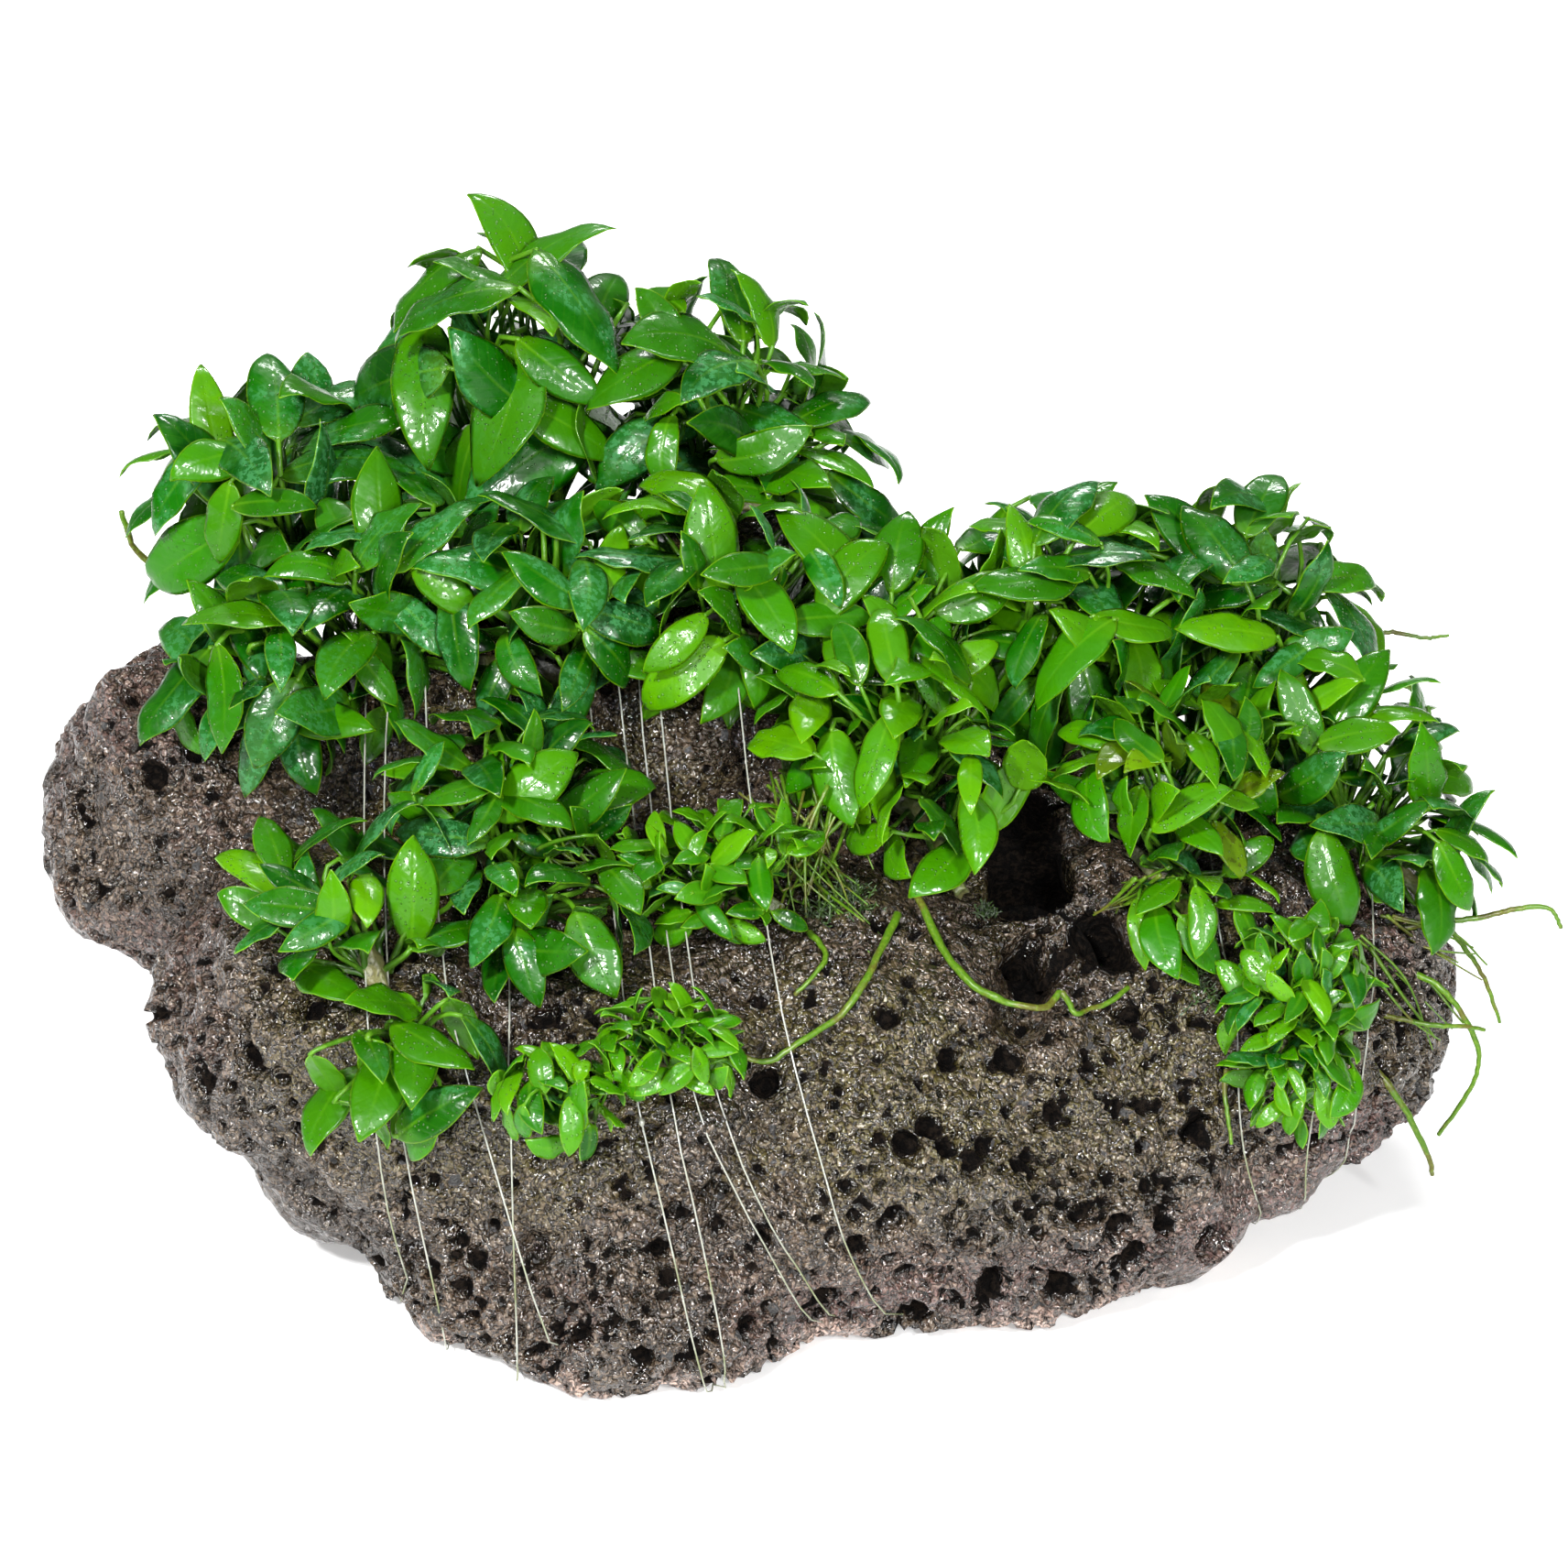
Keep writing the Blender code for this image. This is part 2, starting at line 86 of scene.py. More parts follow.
# Soft boxes: name, place and size in metres, watts, and whether it gives only highlights.
LIGHTS = [
    ("key", (-0.50, -0.62, 0.85), (0.13, 0.13), 15.0, False),
    ("side", (0.42, -0.85, 0.62), (0.09, 0.16), 8.0, False),
    ("low", (-0.10, -1.05, 0.30), (0.30, 0.06), 2.2, False),
    ("gleam_left", (-0.30, -0.95, 0.80), (0.12, 0.12), 18.0, True),
    ("gleam_right", (0.36, -0.90, 0.90), (0.12, 0.12), 18.0, True),
    ("gleam_front", (0.05, -1.10, 0.45), (0.14, 0.08), 10.0, True),
    ("back", (0.05, 0.75, 0.80), (0.40, 0.10), 8.0, False),
]
SURROUND_STRENGTH = 0.20
FLOOR_HALF_WIDTH = 6.0
FLOOR_GAP = 0.2 * MM
FLOOR_WHITE = 0.93
FLOOR_ROUGHNESS = 0.7
FLOOR_GLOW = 0.34
WHITE = (1.0, 1.0, 1.0, 1.0)


def add_area_light(name, place, size, watts, gleam_only):
    data = bpy.data.lights.new(name, "AREA")
    data.shape = "RECTANGLE"
    data.size = size[0]
    data.size_y = size[1]
    data.energy = watts
    light = bpy.data.objects.new(name, data)
    bpy.context.scene.collection.objects.link(light)
    light.location = place
    aim = TARGET - Vector(place)
    light.rotation_euler = aim.to_track_quat("-Z", "Y").to_euler()
    light.visible_diffuse = not gleam_only


def add_studio():
    """A white floor, an even white surround and the soft boxes."""
    scene = bpy.context.scene
    scene.view_settings.view_transform = "Standard"
    world = bpy.data.worlds.new("studio")
    scene.world = world
    world.use_nodes = True
    background = world.node_tree.nodes["Background"]
    background.inputs["Color"].default_value = WHITE
    background.inputs["Strength"].default_value = SURROUND_STRENGTH

    for name, place, size, watts, gleam_only in LIGHTS:
        add_area_light(name, place, size, watts, gleam_only)

    bm = bmesh.new()
    bmesh.ops.create_grid(bm, x_segments=1, y_segments=1, size=FLOOR_HALF_WIDTH)
    mesh = bpy.data.meshes.new("floor")
    bm.to_mesh(mesh)
    bm.free()
    floor = bpy.data.objects.new("floor", mesh)
    scene.collection.objects.link(floor)
    floor.location.z = CAD_BOUNDS[0][2] - FLOOR_GAP
    nodes = Material("floor_white")
    nodes.shader.inputs["Base Color"].default_value = (FLOOR_WHITE, FLOOR_WHITE, FLOOR_WHITE, 1.0)
    nodes.shader.inputs["Roughness"].default_value = FLOOR_ROUGHNESS
    nodes.shader.inputs["Emission Color"].default_value = WHITE
    nodes.shader.inputs["Emission Strength"].default_value = FLOOR_GLOW
    floor.data.materials.append(nodes.material)


# ---------------------------------------------------------------- node helpers


class Material:
    """A node material with short ways to add and join nodes."""

    def __init__(self, name):
        self.material = bpy.data.materials.new(name)
        self.material.use_nodes = True
        self.tree = self.material.node_tree
        self.shader = self.tree.nodes["Principled BSDF"]
        self.coordinates = None

    def node(self, kind, **settings):
        made = self.tree.nodes.new("ShaderNode" + kind)
        for name, value in settings.items():
            setattr(made, name, value)
        return made

    def plug(self, source, target):
        """Joins an output, or sets a plain value, to an input."""
        if isinstance(source, bpy.types.NodeSocket):
            self.tree.links.new(source, target)
        elif hasattr(source, "__len__") and len(source) == 3 and target.type == "RGBA":
            target.default_value = (*source, 1.0)
        else:
            target.default_value = source

    def place(self):
        """The object's own coordinates, in metres."""
        if self.coordinates is None:
            self.coordinates = self.node("TexCoord").outputs["Object"]
        return self.coordinates

    def attribute(self, name):
        return self.node("Attribute", attribute_name=name).outputs["Fac"]

    def noise(self, scale, detail=3.0, roughness=0.55, vector=None):
        made = self.node("TexNoise")
        self.plug(vector if vector is not None else self.place(), made.inputs["Vector"])
        made.inputs["Scale"].default_value = scale
        made.inputs["Detail"].default_value = detail
        made.inputs["Roughness"].default_value = roughness
        return made.outputs["Fac"]

    def cells(self, scale, feature="F1", randomness=1.0, vector=None):
        made = self.node("TexVoronoi", feature=feature)
        self.plug(vector if vector is not None else self.place(), made.inputs["Vector"])
        made.inputs["Scale"].default_value = scale
        made.inputs["Randomness"].default_value = randomness
        return made

    def math(self, operation, a, b=0.0, clamp=False):
        made = self.node("Math", operation=operation, use_clamp=clamp)
        self.plug(a, made.inputs[0])
        self.plug(b, made.inputs[1])
        return made.outputs[0]

    def step(self, value, low, high, start=0.0, end=1.0):
        """A smooth change from start to end as the value goes from low to high."""
        made = self.node("MapRange", interpolation_type="SMOOTHSTEP")
        self.plug(value, made.inputs["Value"])
        made.inputs["From Min"].default_value = low
        made.inputs["From Max"].default_value = high
        made.inputs["To Min"].default_value = start
        made.inputs["To Max"].default_value = end
        return made.outputs["Result"]

    def mix(self, share, a, b, blend="MIX"):
        made = self.node("Mix", data_type="RGBA", blend_type=blend)
        self.plug(share, made.inputs["Factor"])
        self.plug(a, made.inputs["A"])
        self.plug(b, made.inputs["B"])
        return made.outputs["Result"]

    def height(self):
        """How high the place is, in metres."""
        parts = self.node("SeparateXYZ")
        self.plug(self.place(), parts.inputs["Vector"])
        return parts.outputs

    def bump(self, height, distance, strength=1.0, normal=None):
        made = self.node("Bump")
        self.plug(height, made.inputs["Height"])
        made.inputs["Distance"].default_value = distance
        made.inputs["Strength"].default_value = strength
        if normal is not None:
            self.plug(normal, made.inputs["Normal"])
        return made.outputs["Normal"]


# ---------------------------------------------------------------- materials


def stone_material():
    """Wet, pitted lava: olive film on top, purple below, a pale broken lower edge, with painted shade in its
    creases and holes and painted highlights round the hole rims.
    """
    m = Material("wet_lava")
    place = m.height()
    warp = m.node("TexNoise")
    m.plug(m.place(), warp.inputs["Vector"])
    warp.inputs["Scale"].default_value = 700.0
    shift = m.node("VectorMath", operation="SCALE")
    m.plug(warp.outputs["Color"], shift.inputs[0])
    shift.inputs["Scale"].default_value = 0.0026
    bent = m.node("VectorMath", operation="ADD")
    m.plug(m.place(), bent.inputs[0])
    m.plug(shift.outputs[0], bent.inputs[1])
    bent = bent.outputs[0]
    grains = m.cells(1150.0, vector=bent)
    crease_shade = m.step(grains.outputs["Distance"], 0.36, 0.62)
    pick = m.node("SeparateColor")
    m.plug(grains.outputs["Color"], pick.inputs["Color"])

    brown = m.mix(m.step(m.noise(45.0, 4.0), 0.40, 0.60), (0.046, 0.030, 0.018), (0.108, 0.072, 0.045))
    film = m.math("MULTIPLY", m.step(place["Z"], 0.016, 0.040), m.step(m.noise(26.0, 5.0), 0.40, 0.56))
    side = m.math("MULTIPLY", film, m.step(place["X"], -0.092, -0.07))
    colour = m.mix(side, brown, (0.088, 0.072, 0.020))
    low = m.math("MULTIPLY", m.step(place["Z"], 0.026, 0.008), m.step(place["X"], -0.060, -0.025))
    left = m.step(place["X"], -0.078, -0.100, 0.0, 0.6)
    right = m.step(place["X"], 0.070, 0.095)
    purple = m.math("MAXIMUM", m.math("MAXIMUM", low, left), right)
    purple = m.math("MULTIPLY", purple, m.step(m.noise(34.0, 4.0), 0.40, 0.56), clamp=True)
    colour = m.mix(purple, colour, (0.150, 0.080, 0.070))
    rim = m.math("MULTIPLY", m.step(place["Z"], 0.0075, 0.0020), m.step(m.noise(70.0, 4.0), 0.44, 0.54))
    colour = m.mix(rim, colour, (0.58, 0.40, 0.32))
    dry = m.math("MULTIPLY", m.step(place["X"], 0.098, 0.108), m.step(place["Z"], 0.036, 0.048))
    colour = m.mix(dry, colour, (0.36, 0.32, 0.28))
    colour = m.mix(m.step(pick.outputs["Green"], 0.50, 1.0, 0.0, 0.35), colour, (0.320, 0.240, 0.170))
    colour = m.mix(m.step(pick.outputs["Red"], 0.60, 0.95, 0.0, 0.55), colour, (0.020, 0.013, 0.005))
    # Painted shade: the creases between the grains are darkened toward black.
    colour = m.mix(m.math("MULTIPLY", crease_shade, 0.75), colour, (0.010, 0.005, 0.002))

    # Shallow holes made by bump only: their insides are painted black as shade and their rims painted
    # lighter as a highlight.
    shaded_openings = []
    patchy = m.step(m.noise(60.0, 2.0), 0.42, 0.58, 0.55, 1.0)
    for scale, size, share in ((360.0, 0.36, 0.60), (800.0, 0.36, 0.55)):
        cell = m.cells(scale, vector=bent)
        chance = m.node("SeparateColor")
        m.plug(cell.outputs["Color"], chance.inputs["Color"])
        reach = m.math("MULTIPLY", m.step(chance.outputs["Red"], share, 0.95, 0.0, size), patchy)
        depth = m.math("SUBTRACT", reach, cell.outputs["Distance"])
        shaded_openings.append(m.step(depth, 0.0, 0.07))
        # Painted highlight: a lighter ring round each hole.
        rim_highlight = m.math("MULTIPLY", m.step(depth, -0.07, -0.01), 0.30)
        colour = m.mix(rim_highlight, colour, (0.330, 0.240, 0.170))
        # Painted shade: the hole itself is darkened to near black.
        colour = m.mix(shaded_openings[-1], colour, (0.0040, 0.0026, 0.0014))
    # Painted shade: the stone's holes and cavities darken to near black by the shade value made with the
    # mesh.
    hole_shade = m.attribute("pit_shade")
    colour = m.mix(m.step(hole_shade, 0.20, 0.75, 0.0, 0.98), colour, (0.0030, 0.0020, 0.0010))
    m.plug(colour, m.shader.inputs["Base Color"])

    damp = m.step(m.noise(230.0, 2.0), 0.48, 0.60, 0.06, 0.16)
    rough = m.math("ADD", damp, m.step(dry, 0.2, 0.9, 0.0, 0.5), clamp=True)
    for opening in shaded_openings:
        rough = m.math("ADD", rough, m.math("MULTIPLY", opening, 0.6), clamp=True)
    m.plug(rough, m.shader.inputs["Roughness"])
    m.shader.inputs["Specular IOR Level"].default_value = 0.75

    dome = m.math("MULTIPLY", grains.outputs["Distance"], grains.outputs["Distance"])
    fine = m.cells(2600.0, vector=bent)
    normal = m.bump(m.math("SUBTRACT", 1.0, shaded_openings[0]), 0.0009, 1.0)
    normal = m.bump(m.math("SUBTRACT", 1.0, shaded_openings[1]), 0.0005, 1.0, normal)
    normal = m.bump(m.noise(420.0, 2.0, 0.5), 0.0034, 0.9, normal)
    normal = m.bump(m.math("SUBTRACT", 1.0, dome), 0.00075, 1.0, normal)
    normal = m.bump(m.math("SUBTRACT", 1.0, fine.outputs["Distance"]), 0.00008, 0.8, normal)
    m.plug(normal, m.shader.inputs["Normal"])
    return m.material


def pore_shade_material():
    """Painted shade: the near-black, hardly glossy inside of the stone's deeper holes."""
    m = Material("lava_pore_shade")
    grain = m.noise(900.0, 3.0)
    colour = m.mix(m.step(grain, 0.46, 0.60), (0.0015, 0.0010, 0.0007), (0.009, 0.006, 0.004))
    m.plug(colour, m.shader.inputs["Base Color"])
    m.shader.inputs["Roughness"].default_value = 0.85
    m.shader.inputs["Specular IOR Level"].default_value = 0.04
    m.plug(m.bump(grain, 0.002, 0.8), m.shader.inputs["Normal"])
    return m.material


def leaf_material():
    """Glossy leaf: deep to bright green by age, lit margin and midrib, a painted teal sheen, fine beads of
    wet with painted glints.
    """
    m = Material("anubias_leaf")
    # The youth value also carries painted shade: deeper filling leaves are given a darker green.
    age_and_shade = m.attribute("youth")
    tone = m.attribute("tone")
    margin = m.attribute("margin")
    rib = m.attribute("rib")
    along = m.attribute("along")
    under = m.attribute("under")
    worn = m.attribute("worn")

    deep = m.mix(tone, (0.001, 0.042, 0.0002), (0.005, 0.105, 0.0002))
    fresh = m.mix(tone, (0.018, 0.155, 0.0002), (0.090, 0.285, 0.0002))
    colour = m.mix(m.step(age_and_shade, 0.10, 0.90), deep, fresh)
    clouds = m.noise(160.0, 3.0)
    colour = m.mix(m.step(clouds, 0.46, 0.60, 0.0, 0.30), colour, (0.022, 0.160, 0.001))
    speckle = m.step(m.noise(800.0, 3.0, 0.7), 0.48, 0.56)
    # Painted sheen: speckled teal patches stand in for reflections on the older leaves.
    painted_teal_sheen = m.math("MULTIPLY", m.step(age_and_shade, 0.50, 0.10), m.step(m.noise(85.0, 2.0), 0.45, 0.55))
    painted_teal_sheen = m.math("MULTIPLY", painted_teal_sheen, m.math("ADD", m.math("MULTIPLY", speckle, 0.8), 0.2))
    colour = m.mix(m.math("MULTIPLY", painted_teal_sheen, 0.55), colour, (0.060, 0.260, 0.090))
    base = m.step(along, 0.30, 0.0, 0.0, 0.45)
    colour = m.mix(base, colour, (0.080, 0.220, 0.002))
    veins = m.node("Math", operation="PINGPONG")
    slant = m.math("SUBTRACT", m.math("MULTIPLY", along, 9.0), m.math("MULTIPLY", rib, 420.0))
    m.plug(slant, veins.inputs[0])
    veins.inputs[1].default_value = 0.5
    vein = m.step(veins.outputs[0], 0.09, 0.0)
    colour = m.mix(m.math("MULTIPLY", vein, 0.06), colour, (0.100, 0.300, 0.006))
    spine = m.step(rib, 0.00045, 0.00005, 0.0, 0.22)
    spine = m.math("MULTIPLY", spine, m.step(along, 0.9, 0.1, 0.1, 1.0))
    colour = m.mix(spine, colour, (0.160, 0.400, 0.010))
    edge = m.step(margin, 0.00030, 0.00008, 0.0, 0.60)
    colour = m.mix(edge, colour, (0.180, 0.400, 0.006))
    colour = m.mix(m.math("MULTIPLY", under, 0.5), colour, (0.060, 0.190, 0.006))
    spots = m.step(m.noise(420.0, 3.0, 0.65), 0.57, 0.62, 0.0, 0.8)
    colour = m.mix(m.math("MULTIPLY", worn, 0.70), colour, (0.130, 0.200, 0.002))
    colour = m.mix(m.math("MULTIPLY", worn, spots), colour, (0.045, 0.050, 0.003))
    dew = m.cells(1500.0)
    chosen = m.node("SeparateColor")
    m.plug(dew.outputs["Color"], chosen.inputs["Color"])
    size = m.step(chosen.outputs["Red"], 0.25, 1.0, 0.0, 0.40)
    bead_and_glint = m.step(m.math("SUBTRACT", size, dew.outputs["Distance"]), 0.0, 0.16)
    bead_and_glint = m.math("MULTIPLY", bead_and_glint, m.step(m.noise(50.0, 2.0), 0.44, 0.54))
    # Painted highlight: the beads of wet are lightened toward a pale glint.
    colour = m.mix(m.math("MULTIPLY", bead_and_glint, 0.30), colour, (0.300, 0.560, 0.200))
    m.plug(colour, m.shader.inputs["Base Color"])

    m.plug(m.step(clouds, 0.42, 0.60, 0.24, 0.40), m.shader.inputs["Roughness"])
    m.shader.inputs["IOR"].default_value = 1.30
    m.shader.inputs["Specular IOR Level"].default_value = 0.25
    m.shader.inputs["Coat Weight"].default_value = 0.32
    m.shader.inputs["Coat IOR"].default_value = 1.33
    m.shader.inputs["Coat Roughness"].default_value = 0.08

    normal = m.bump(m.step(rib, 0.0, 0.00050), 0.00005, 0.6)
    normal = m.bump(m.step(veins.outputs[0], 0.0, 0.25), 0.00002, 0.5, normal)
    normal = m.bump(m.noise(260.0, 2.0), 0.0006, 0.5, normal)
    normal = m.bump(m.noise(1500.0, 2.0), 0.00004, 0.6, normal)
    normal = m.bump(bead_and_glint, 0.00040, 1.0, normal)
    m.plug(normal, m.shader.inputs["Normal"])
    m.plug(normal, m.shader.inputs["Coat Normal"])
    return m.material


def petiole_material():
    """Pale green leaf stalks, darker towards the rhizome."""
    m = Material("leaf_stalk")
    along = m.attribute("along")
    streaks = m.noise(500.0, 3.0)
    colour = m.mix(m.step(along, 0.0, 0.9), (0.020, 0.065, 0.003), (0.075, 0.230, 0.006))
    colour = m.mix(m.step(streaks, 0.5, 0.65, 0.0, 0.4), colour, (0.140, 0.280, 0.020))
    m.plug(colour, m.shader.inputs["Base Color"])
    m.shader.inputs["Roughness"].default_value = 0.40
    m.shader.inputs["Specular IOR Level"].default_value = 0.15
    m.shader.inputs["Coat Weight"].default_value = 0.1
    m.shader.inputs["Coat Roughness"].default_value = 0.1
    m.plug(m.bump(streaks, 0.0006, 0.6), m.shader.inputs["Normal"])
    return m.material


def rhizome_material():
    """Brown-green creeping stem with ring scars."""
    m = Material("rhizome_skin")
    patches = m.noise(240.0, 4.0)
    colour = m.mix(m.step(patches, 0.35, 0.65), (0.070, 0.095, 0.018), (0.160, 0.150, 0.050))
    fine = m.noise(1400.0, 3.0)
    colour = m.mix(m.step(fine, 0.42, 0.30, 0.0, 0.7), colour, (0.020, 0.016, 0.008))
    m.plug(colour, m.shader.inputs["Base Color"])
    m.shader.inputs["Roughness"].default_value = 0.5
    m.plug(m.bump(fine, 0.00030, 0.8), m.shader.inputs["Normal"])
    return m.material


def root_material():
    """Green roots that turn brown in places."""
    m = Material("root_skin")
    patches = m.noise(130.0, 3.0)
    colour = m.mix(m.step(patches, 0.50, 0.60, 0.0, 0.8), (0.075, 0.180, 0.004), (0.110, 0.085, 0.012))
    fine = m.noise(1600.0, 3.0)
    colour = m.mix(m.step(fine, 0.5, 0.6, 0.0, 0.4), colour, (0.190, 0.290, 0.025))
    m.plug(colour, m.shader.inputs["Base Color"])
    m.shader.inputs["Roughness"].default_value = 0.42
    m.shader.inputs["Specular IOR Level"].default_value = 0.2
    m.shader.inputs["Coat Weight"].default_value = 0.15
    m.shader.inputs["Coat Roughness"].default_value = 0.15
    m.plug(m.bump(fine, 0.00022, 0.7), m.shader.inputs["Normal"])
    return m.material


def line_material():
    """Clear nylon that looks whitish, with a green film low down."""
    m = Material("nylon_line")
    place = m.height()
    film = m.math("MULTIPLY", m.step(place["Z"], 0.045, 0.015), m.step(m.noise(90.0, 3.0), 0.42, 0.58))
    colour = m.mix(film, (0.50, 0.51, 0.44), (0.26, 0.29, 0.14))
    m.plug(colour, m.shader.inputs["Base Color"])
    m.shader.inputs["Roughness"].default_value = 0.2
    m.shader.inputs["Transmission Weight"].default_value = 0.35
    m.shader.inputs["IOR"].default_value = 1.53
    m.plug(m.bump(m.noise(1500.0, 2.0), 0.00005, 0.5), m.shader.inputs["Normal"])
    return m.material


def moss_material():
    m = Material("moss_green")
    tone = m.noise(600.0, 3.0)
    colour = m.mix(m.step(tone, 0.35, 0.65), (0.010, 0.030, 0.002), (0.040, 0.100, 0.005))
    m.plug(colour, m.shader.inputs["Base Color"])
    m.shader.inputs["Roughness"].default_value = 0.45
    m.plug(m.bump(tone, 0.0001, 0.5), m.shader.inputs["Normal"])
    return m.material


# ---------------------------------------------------------------- mesh helpers


def world_arrays(node):
    """A CAD node's vertices, in metres, and triangles."""
    mesh = node.data
    verts = np.empty(len(mesh.vertices) * 3)
    mesh.vertices.foreach_get("co", verts)
    verts = verts.reshape(-1, 3)
    matrix = np.array(node.matrix_world)
    verts = verts @ matrix[:3, :3].T + matrix[:3, 3]
    mesh.calc_loop_triangles()
    tris = np.empty(len(mesh.loop_triangles) * 3, dtype=np.int32)
    mesh.loop_triangles.foreach_get("vertices", tris)
    return verts, tris.reshape(-1, 3)


def tree_of(verts, tris):
    return BVHTree.FromPolygons(verts.tolist(), tris.tolist())


def object_from(name, mesh, materials):
    made = bpy.data.objects.new(name, mesh)
    bpy.context.scene.collection.objects.link(made)
    mesh.materials.clear()
    for material in materials:
        mesh.materials.append(material)
    mesh.shade_smooth()
    return made


def coordinates(mesh):
    flat = np.empty(len(mesh.vertices) * 3)
    mesh.vertices.foreach_get("co", flat)
    return flat.reshape(-1, 3)


def normals(mesh):
    flat = np.empty(len(mesh.vertices) * 3)
    mesh.vertex_normals.foreach_get("vector", flat)
    return flat.reshape(-1, 3)


def set_coordinates(mesh, verts):
    mesh.vertices.foreach_set("co", verts.ravel())
    mesh.update()


def add_attribute(mesh, name, values):
    layer = mesh.attributes.new(name, "FLOAT", "POINT")
    layer.data.foreach_set("value", np.asarray(values, dtype=np.float32))


def with_modifiers(source):
    """The object's mesh with its modifiers applied. The object is removed."""
    bpy.context.view_layer.update()
    depsgraph = bpy.context.evaluated_depsgraph_get()
    mesh = bpy.data.meshes.new_from_object(source.evaluated_get(depsgraph))
    bpy.data.objects.remove(source)
    return mesh


def remeshed(name, node, voxel):
    """A CAD node's shape as an even, fine skin."""
    verts, tris = world_arrays(node)
    mesh = bpy.data.meshes.new(name)
    mesh.from_pydata(verts.tolist(), [], tris.tolist())
    body = bpy.data.objects.new(name, mesh)
    bpy.context.scene.collection.objects.link(body)
    melt = body.modifiers.new("melt", "REMESH")
    melt.mode = "VOXEL"
    melt.voxel_size = voxel
    return with_modifiers(body)


def unit(vector):
    length = np.linalg.norm(vector)
    return vector / length if length > 1e-12 else np.array([0.0, 0.0, 1.0])


class Builder:
    """Gathers many small closed shapes into one mesh."""

    def __init__(self):
        self.verts = []
        self.faces = []
        self.slots = []
        self.values = {}
        self.count = 0

    def add(self, verts, faces, slot=0, **values):
        number = len(verts)
        self.verts.append(np.asarray(verts))
        self.faces.extend([[corner + self.count for corner in face] for face in faces])
        self.slots.extend([slot] * len(faces))
        for name, value in values.items():
            filled = np.broadcast_to(np.asarray(value, dtype=float), (number,))
            self.values.setdefault(name, []).append((self.count, filled))
        self.count += number

    def build(self, name, materials):
        mesh = bpy.data.meshes.new(name)
        mesh.from_pydata(np.concatenate(self.verts).tolist(), [], self.faces)
        made = object_from(name, mesh, materials)
        mesh.polygons.foreach_set("material_index", self.slots)
        for key, parts in self.values.items():
            full = np.zeros(self.count)
            for start, part in parts:
                full[start:start + len(part)] = part
            add_attribute(mesh, key, full)
        mesh.update()
        return made


def smooth_route(points, steps):
    """Points on a smooth curve through the given ones."""
    points = [np.asarray(p, dtype=float) for p in points]
    padded = [2 * points[0] - points[1], *points, 2 * points[-1] - points[-2]]
    route = []
    for before, start, end, after in zip(padded, padded[1:], padded[2:], padded[3:]):
        for step in range(steps):
            t = step / steps
            route.append(
                0.5 * (2 * start + (end - before) * t
                       + (2 * before - 5 * start + 4 * end - after) * t ** 2
                       + (3 * start - before - 3 * end + after) * t ** 3)
            )
    route.append(points[-1])
    return np.array(route)


def tube(route, radii, sides, closed=False):
    """A round tube along a route. An open one has a point at each end."""
    route = np.asarray(route)
    count = len(route)
    if closed:
        ahead = np.roll(route, -1, axis=0) - np.roll(route, 1, axis=0)
    else:
        ahead = np.gradient(route, axis=0)
    ahead /= np.linalg.norm(ahead, axis=1, keepdims=True) + 1e-12
    side = unit(np.cross(ahead[0], UP if abs(ahead[0][2]) < 0.9 else np.array([1.0, 0, 0])))
    sides_at = []
    for direction in ahead:
        side = unit(side - direction * side.dot(direction))
        sides_at.append(side)
    if closed:
        first, last = sides_at[0], sides_at[-1]
        last = unit(last - ahead[0] * last.dot(ahead[0]))
        twist = math.atan2(np.cross(first, last).dot(ahead[0]), first.dot(last))
    else:
        twist = 0.0
    radii = np.broadcast_to(np.asarray(radii, dtype=float), (count,))
    verts = []
    for index, (place, direction, side) in enumerate(zip(route, ahead, sides_at)):
        over = np.cross(direction, side)
        turn = -twist * index / count
        for corner in range(sides):
            angle = 2 * math.pi * corner / sides + turn
            verts.append(place + radii[index] * (math.cos(angle) * side + math.sin(angle) * over))
    faces = []
    spans = count if closed else count - 1
    for ring in range(spans):
        here = ring * sides
        there = ((ring + 1) % count) * sides
        for corner in range(sides):
            after = (corner + 1) % sides
            faces.append([here + corner, here + after, there + after, there + corner])
    if not closed:
        verts.append(route[0] - ahead[0] * radii[0] * 0.5)
        verts.append(route[-1] + ahead[-1] * radii[-1] * 0.5)
        start, end = len(verts) - 2, len(verts) - 1
        last = (count - 1) * sides
        for corner in range(sides):
            after = (corner + 1) % sides
            faces.append([start, after, corner])
            faces.append([end, last + corner, last + after])
    return np.array(verts), faces


# ---------------------------------------------------------------- the stone

STONE_VOXEL = 0.78 * MM
STONE_TRIANGLES = 197000
# Vesicles: how many, and their smallest and largest radius in millimetres.
VESICLES = [(420, 1.6, 3.0), (4600, 0.9, 1.6), (7000, 0.6, 0.9)]
# How deep in a hole, as a share of its depth, the surface turns black with painted shade.
PORE_SHADE_DEPTH = 0.58
# Wide shallow dents, and swellings where the depth is below zero: place, radius and depth, in mm.
SCALLOPS = [
    ((-79, -30, 6), 17, -5.5), ((74, -40, 8), 18, -5.5), ((86, -32, 12), 12, -3.0),
    ((10, -54, 43), 9, 1.8), ((-2, -56, 40), 6, 1.2), ((50, -47, 31), 9, 2.0),
    ((60, -42, 27), 7, 1.4), ((-8, -64, 28), 7, 1.2), ((32, -54, 18), 7, 1.4),
    ((-70, -44, 24), 8, 1.4), ((-50, -58, 26), 7, 1.2), ((70, -36, 20), 8, 1.6),
    ((-108, -2, 40), 9, 1.6), ((-98, -20, 56), 8, 1.4), ((104, -14, 26), 7, 1.4),
    ((30, 60, 40), 10, 1.8), ((-40, 66, 40), 10, 1.8), ((70, 44, 30), 9, 1.6),
]
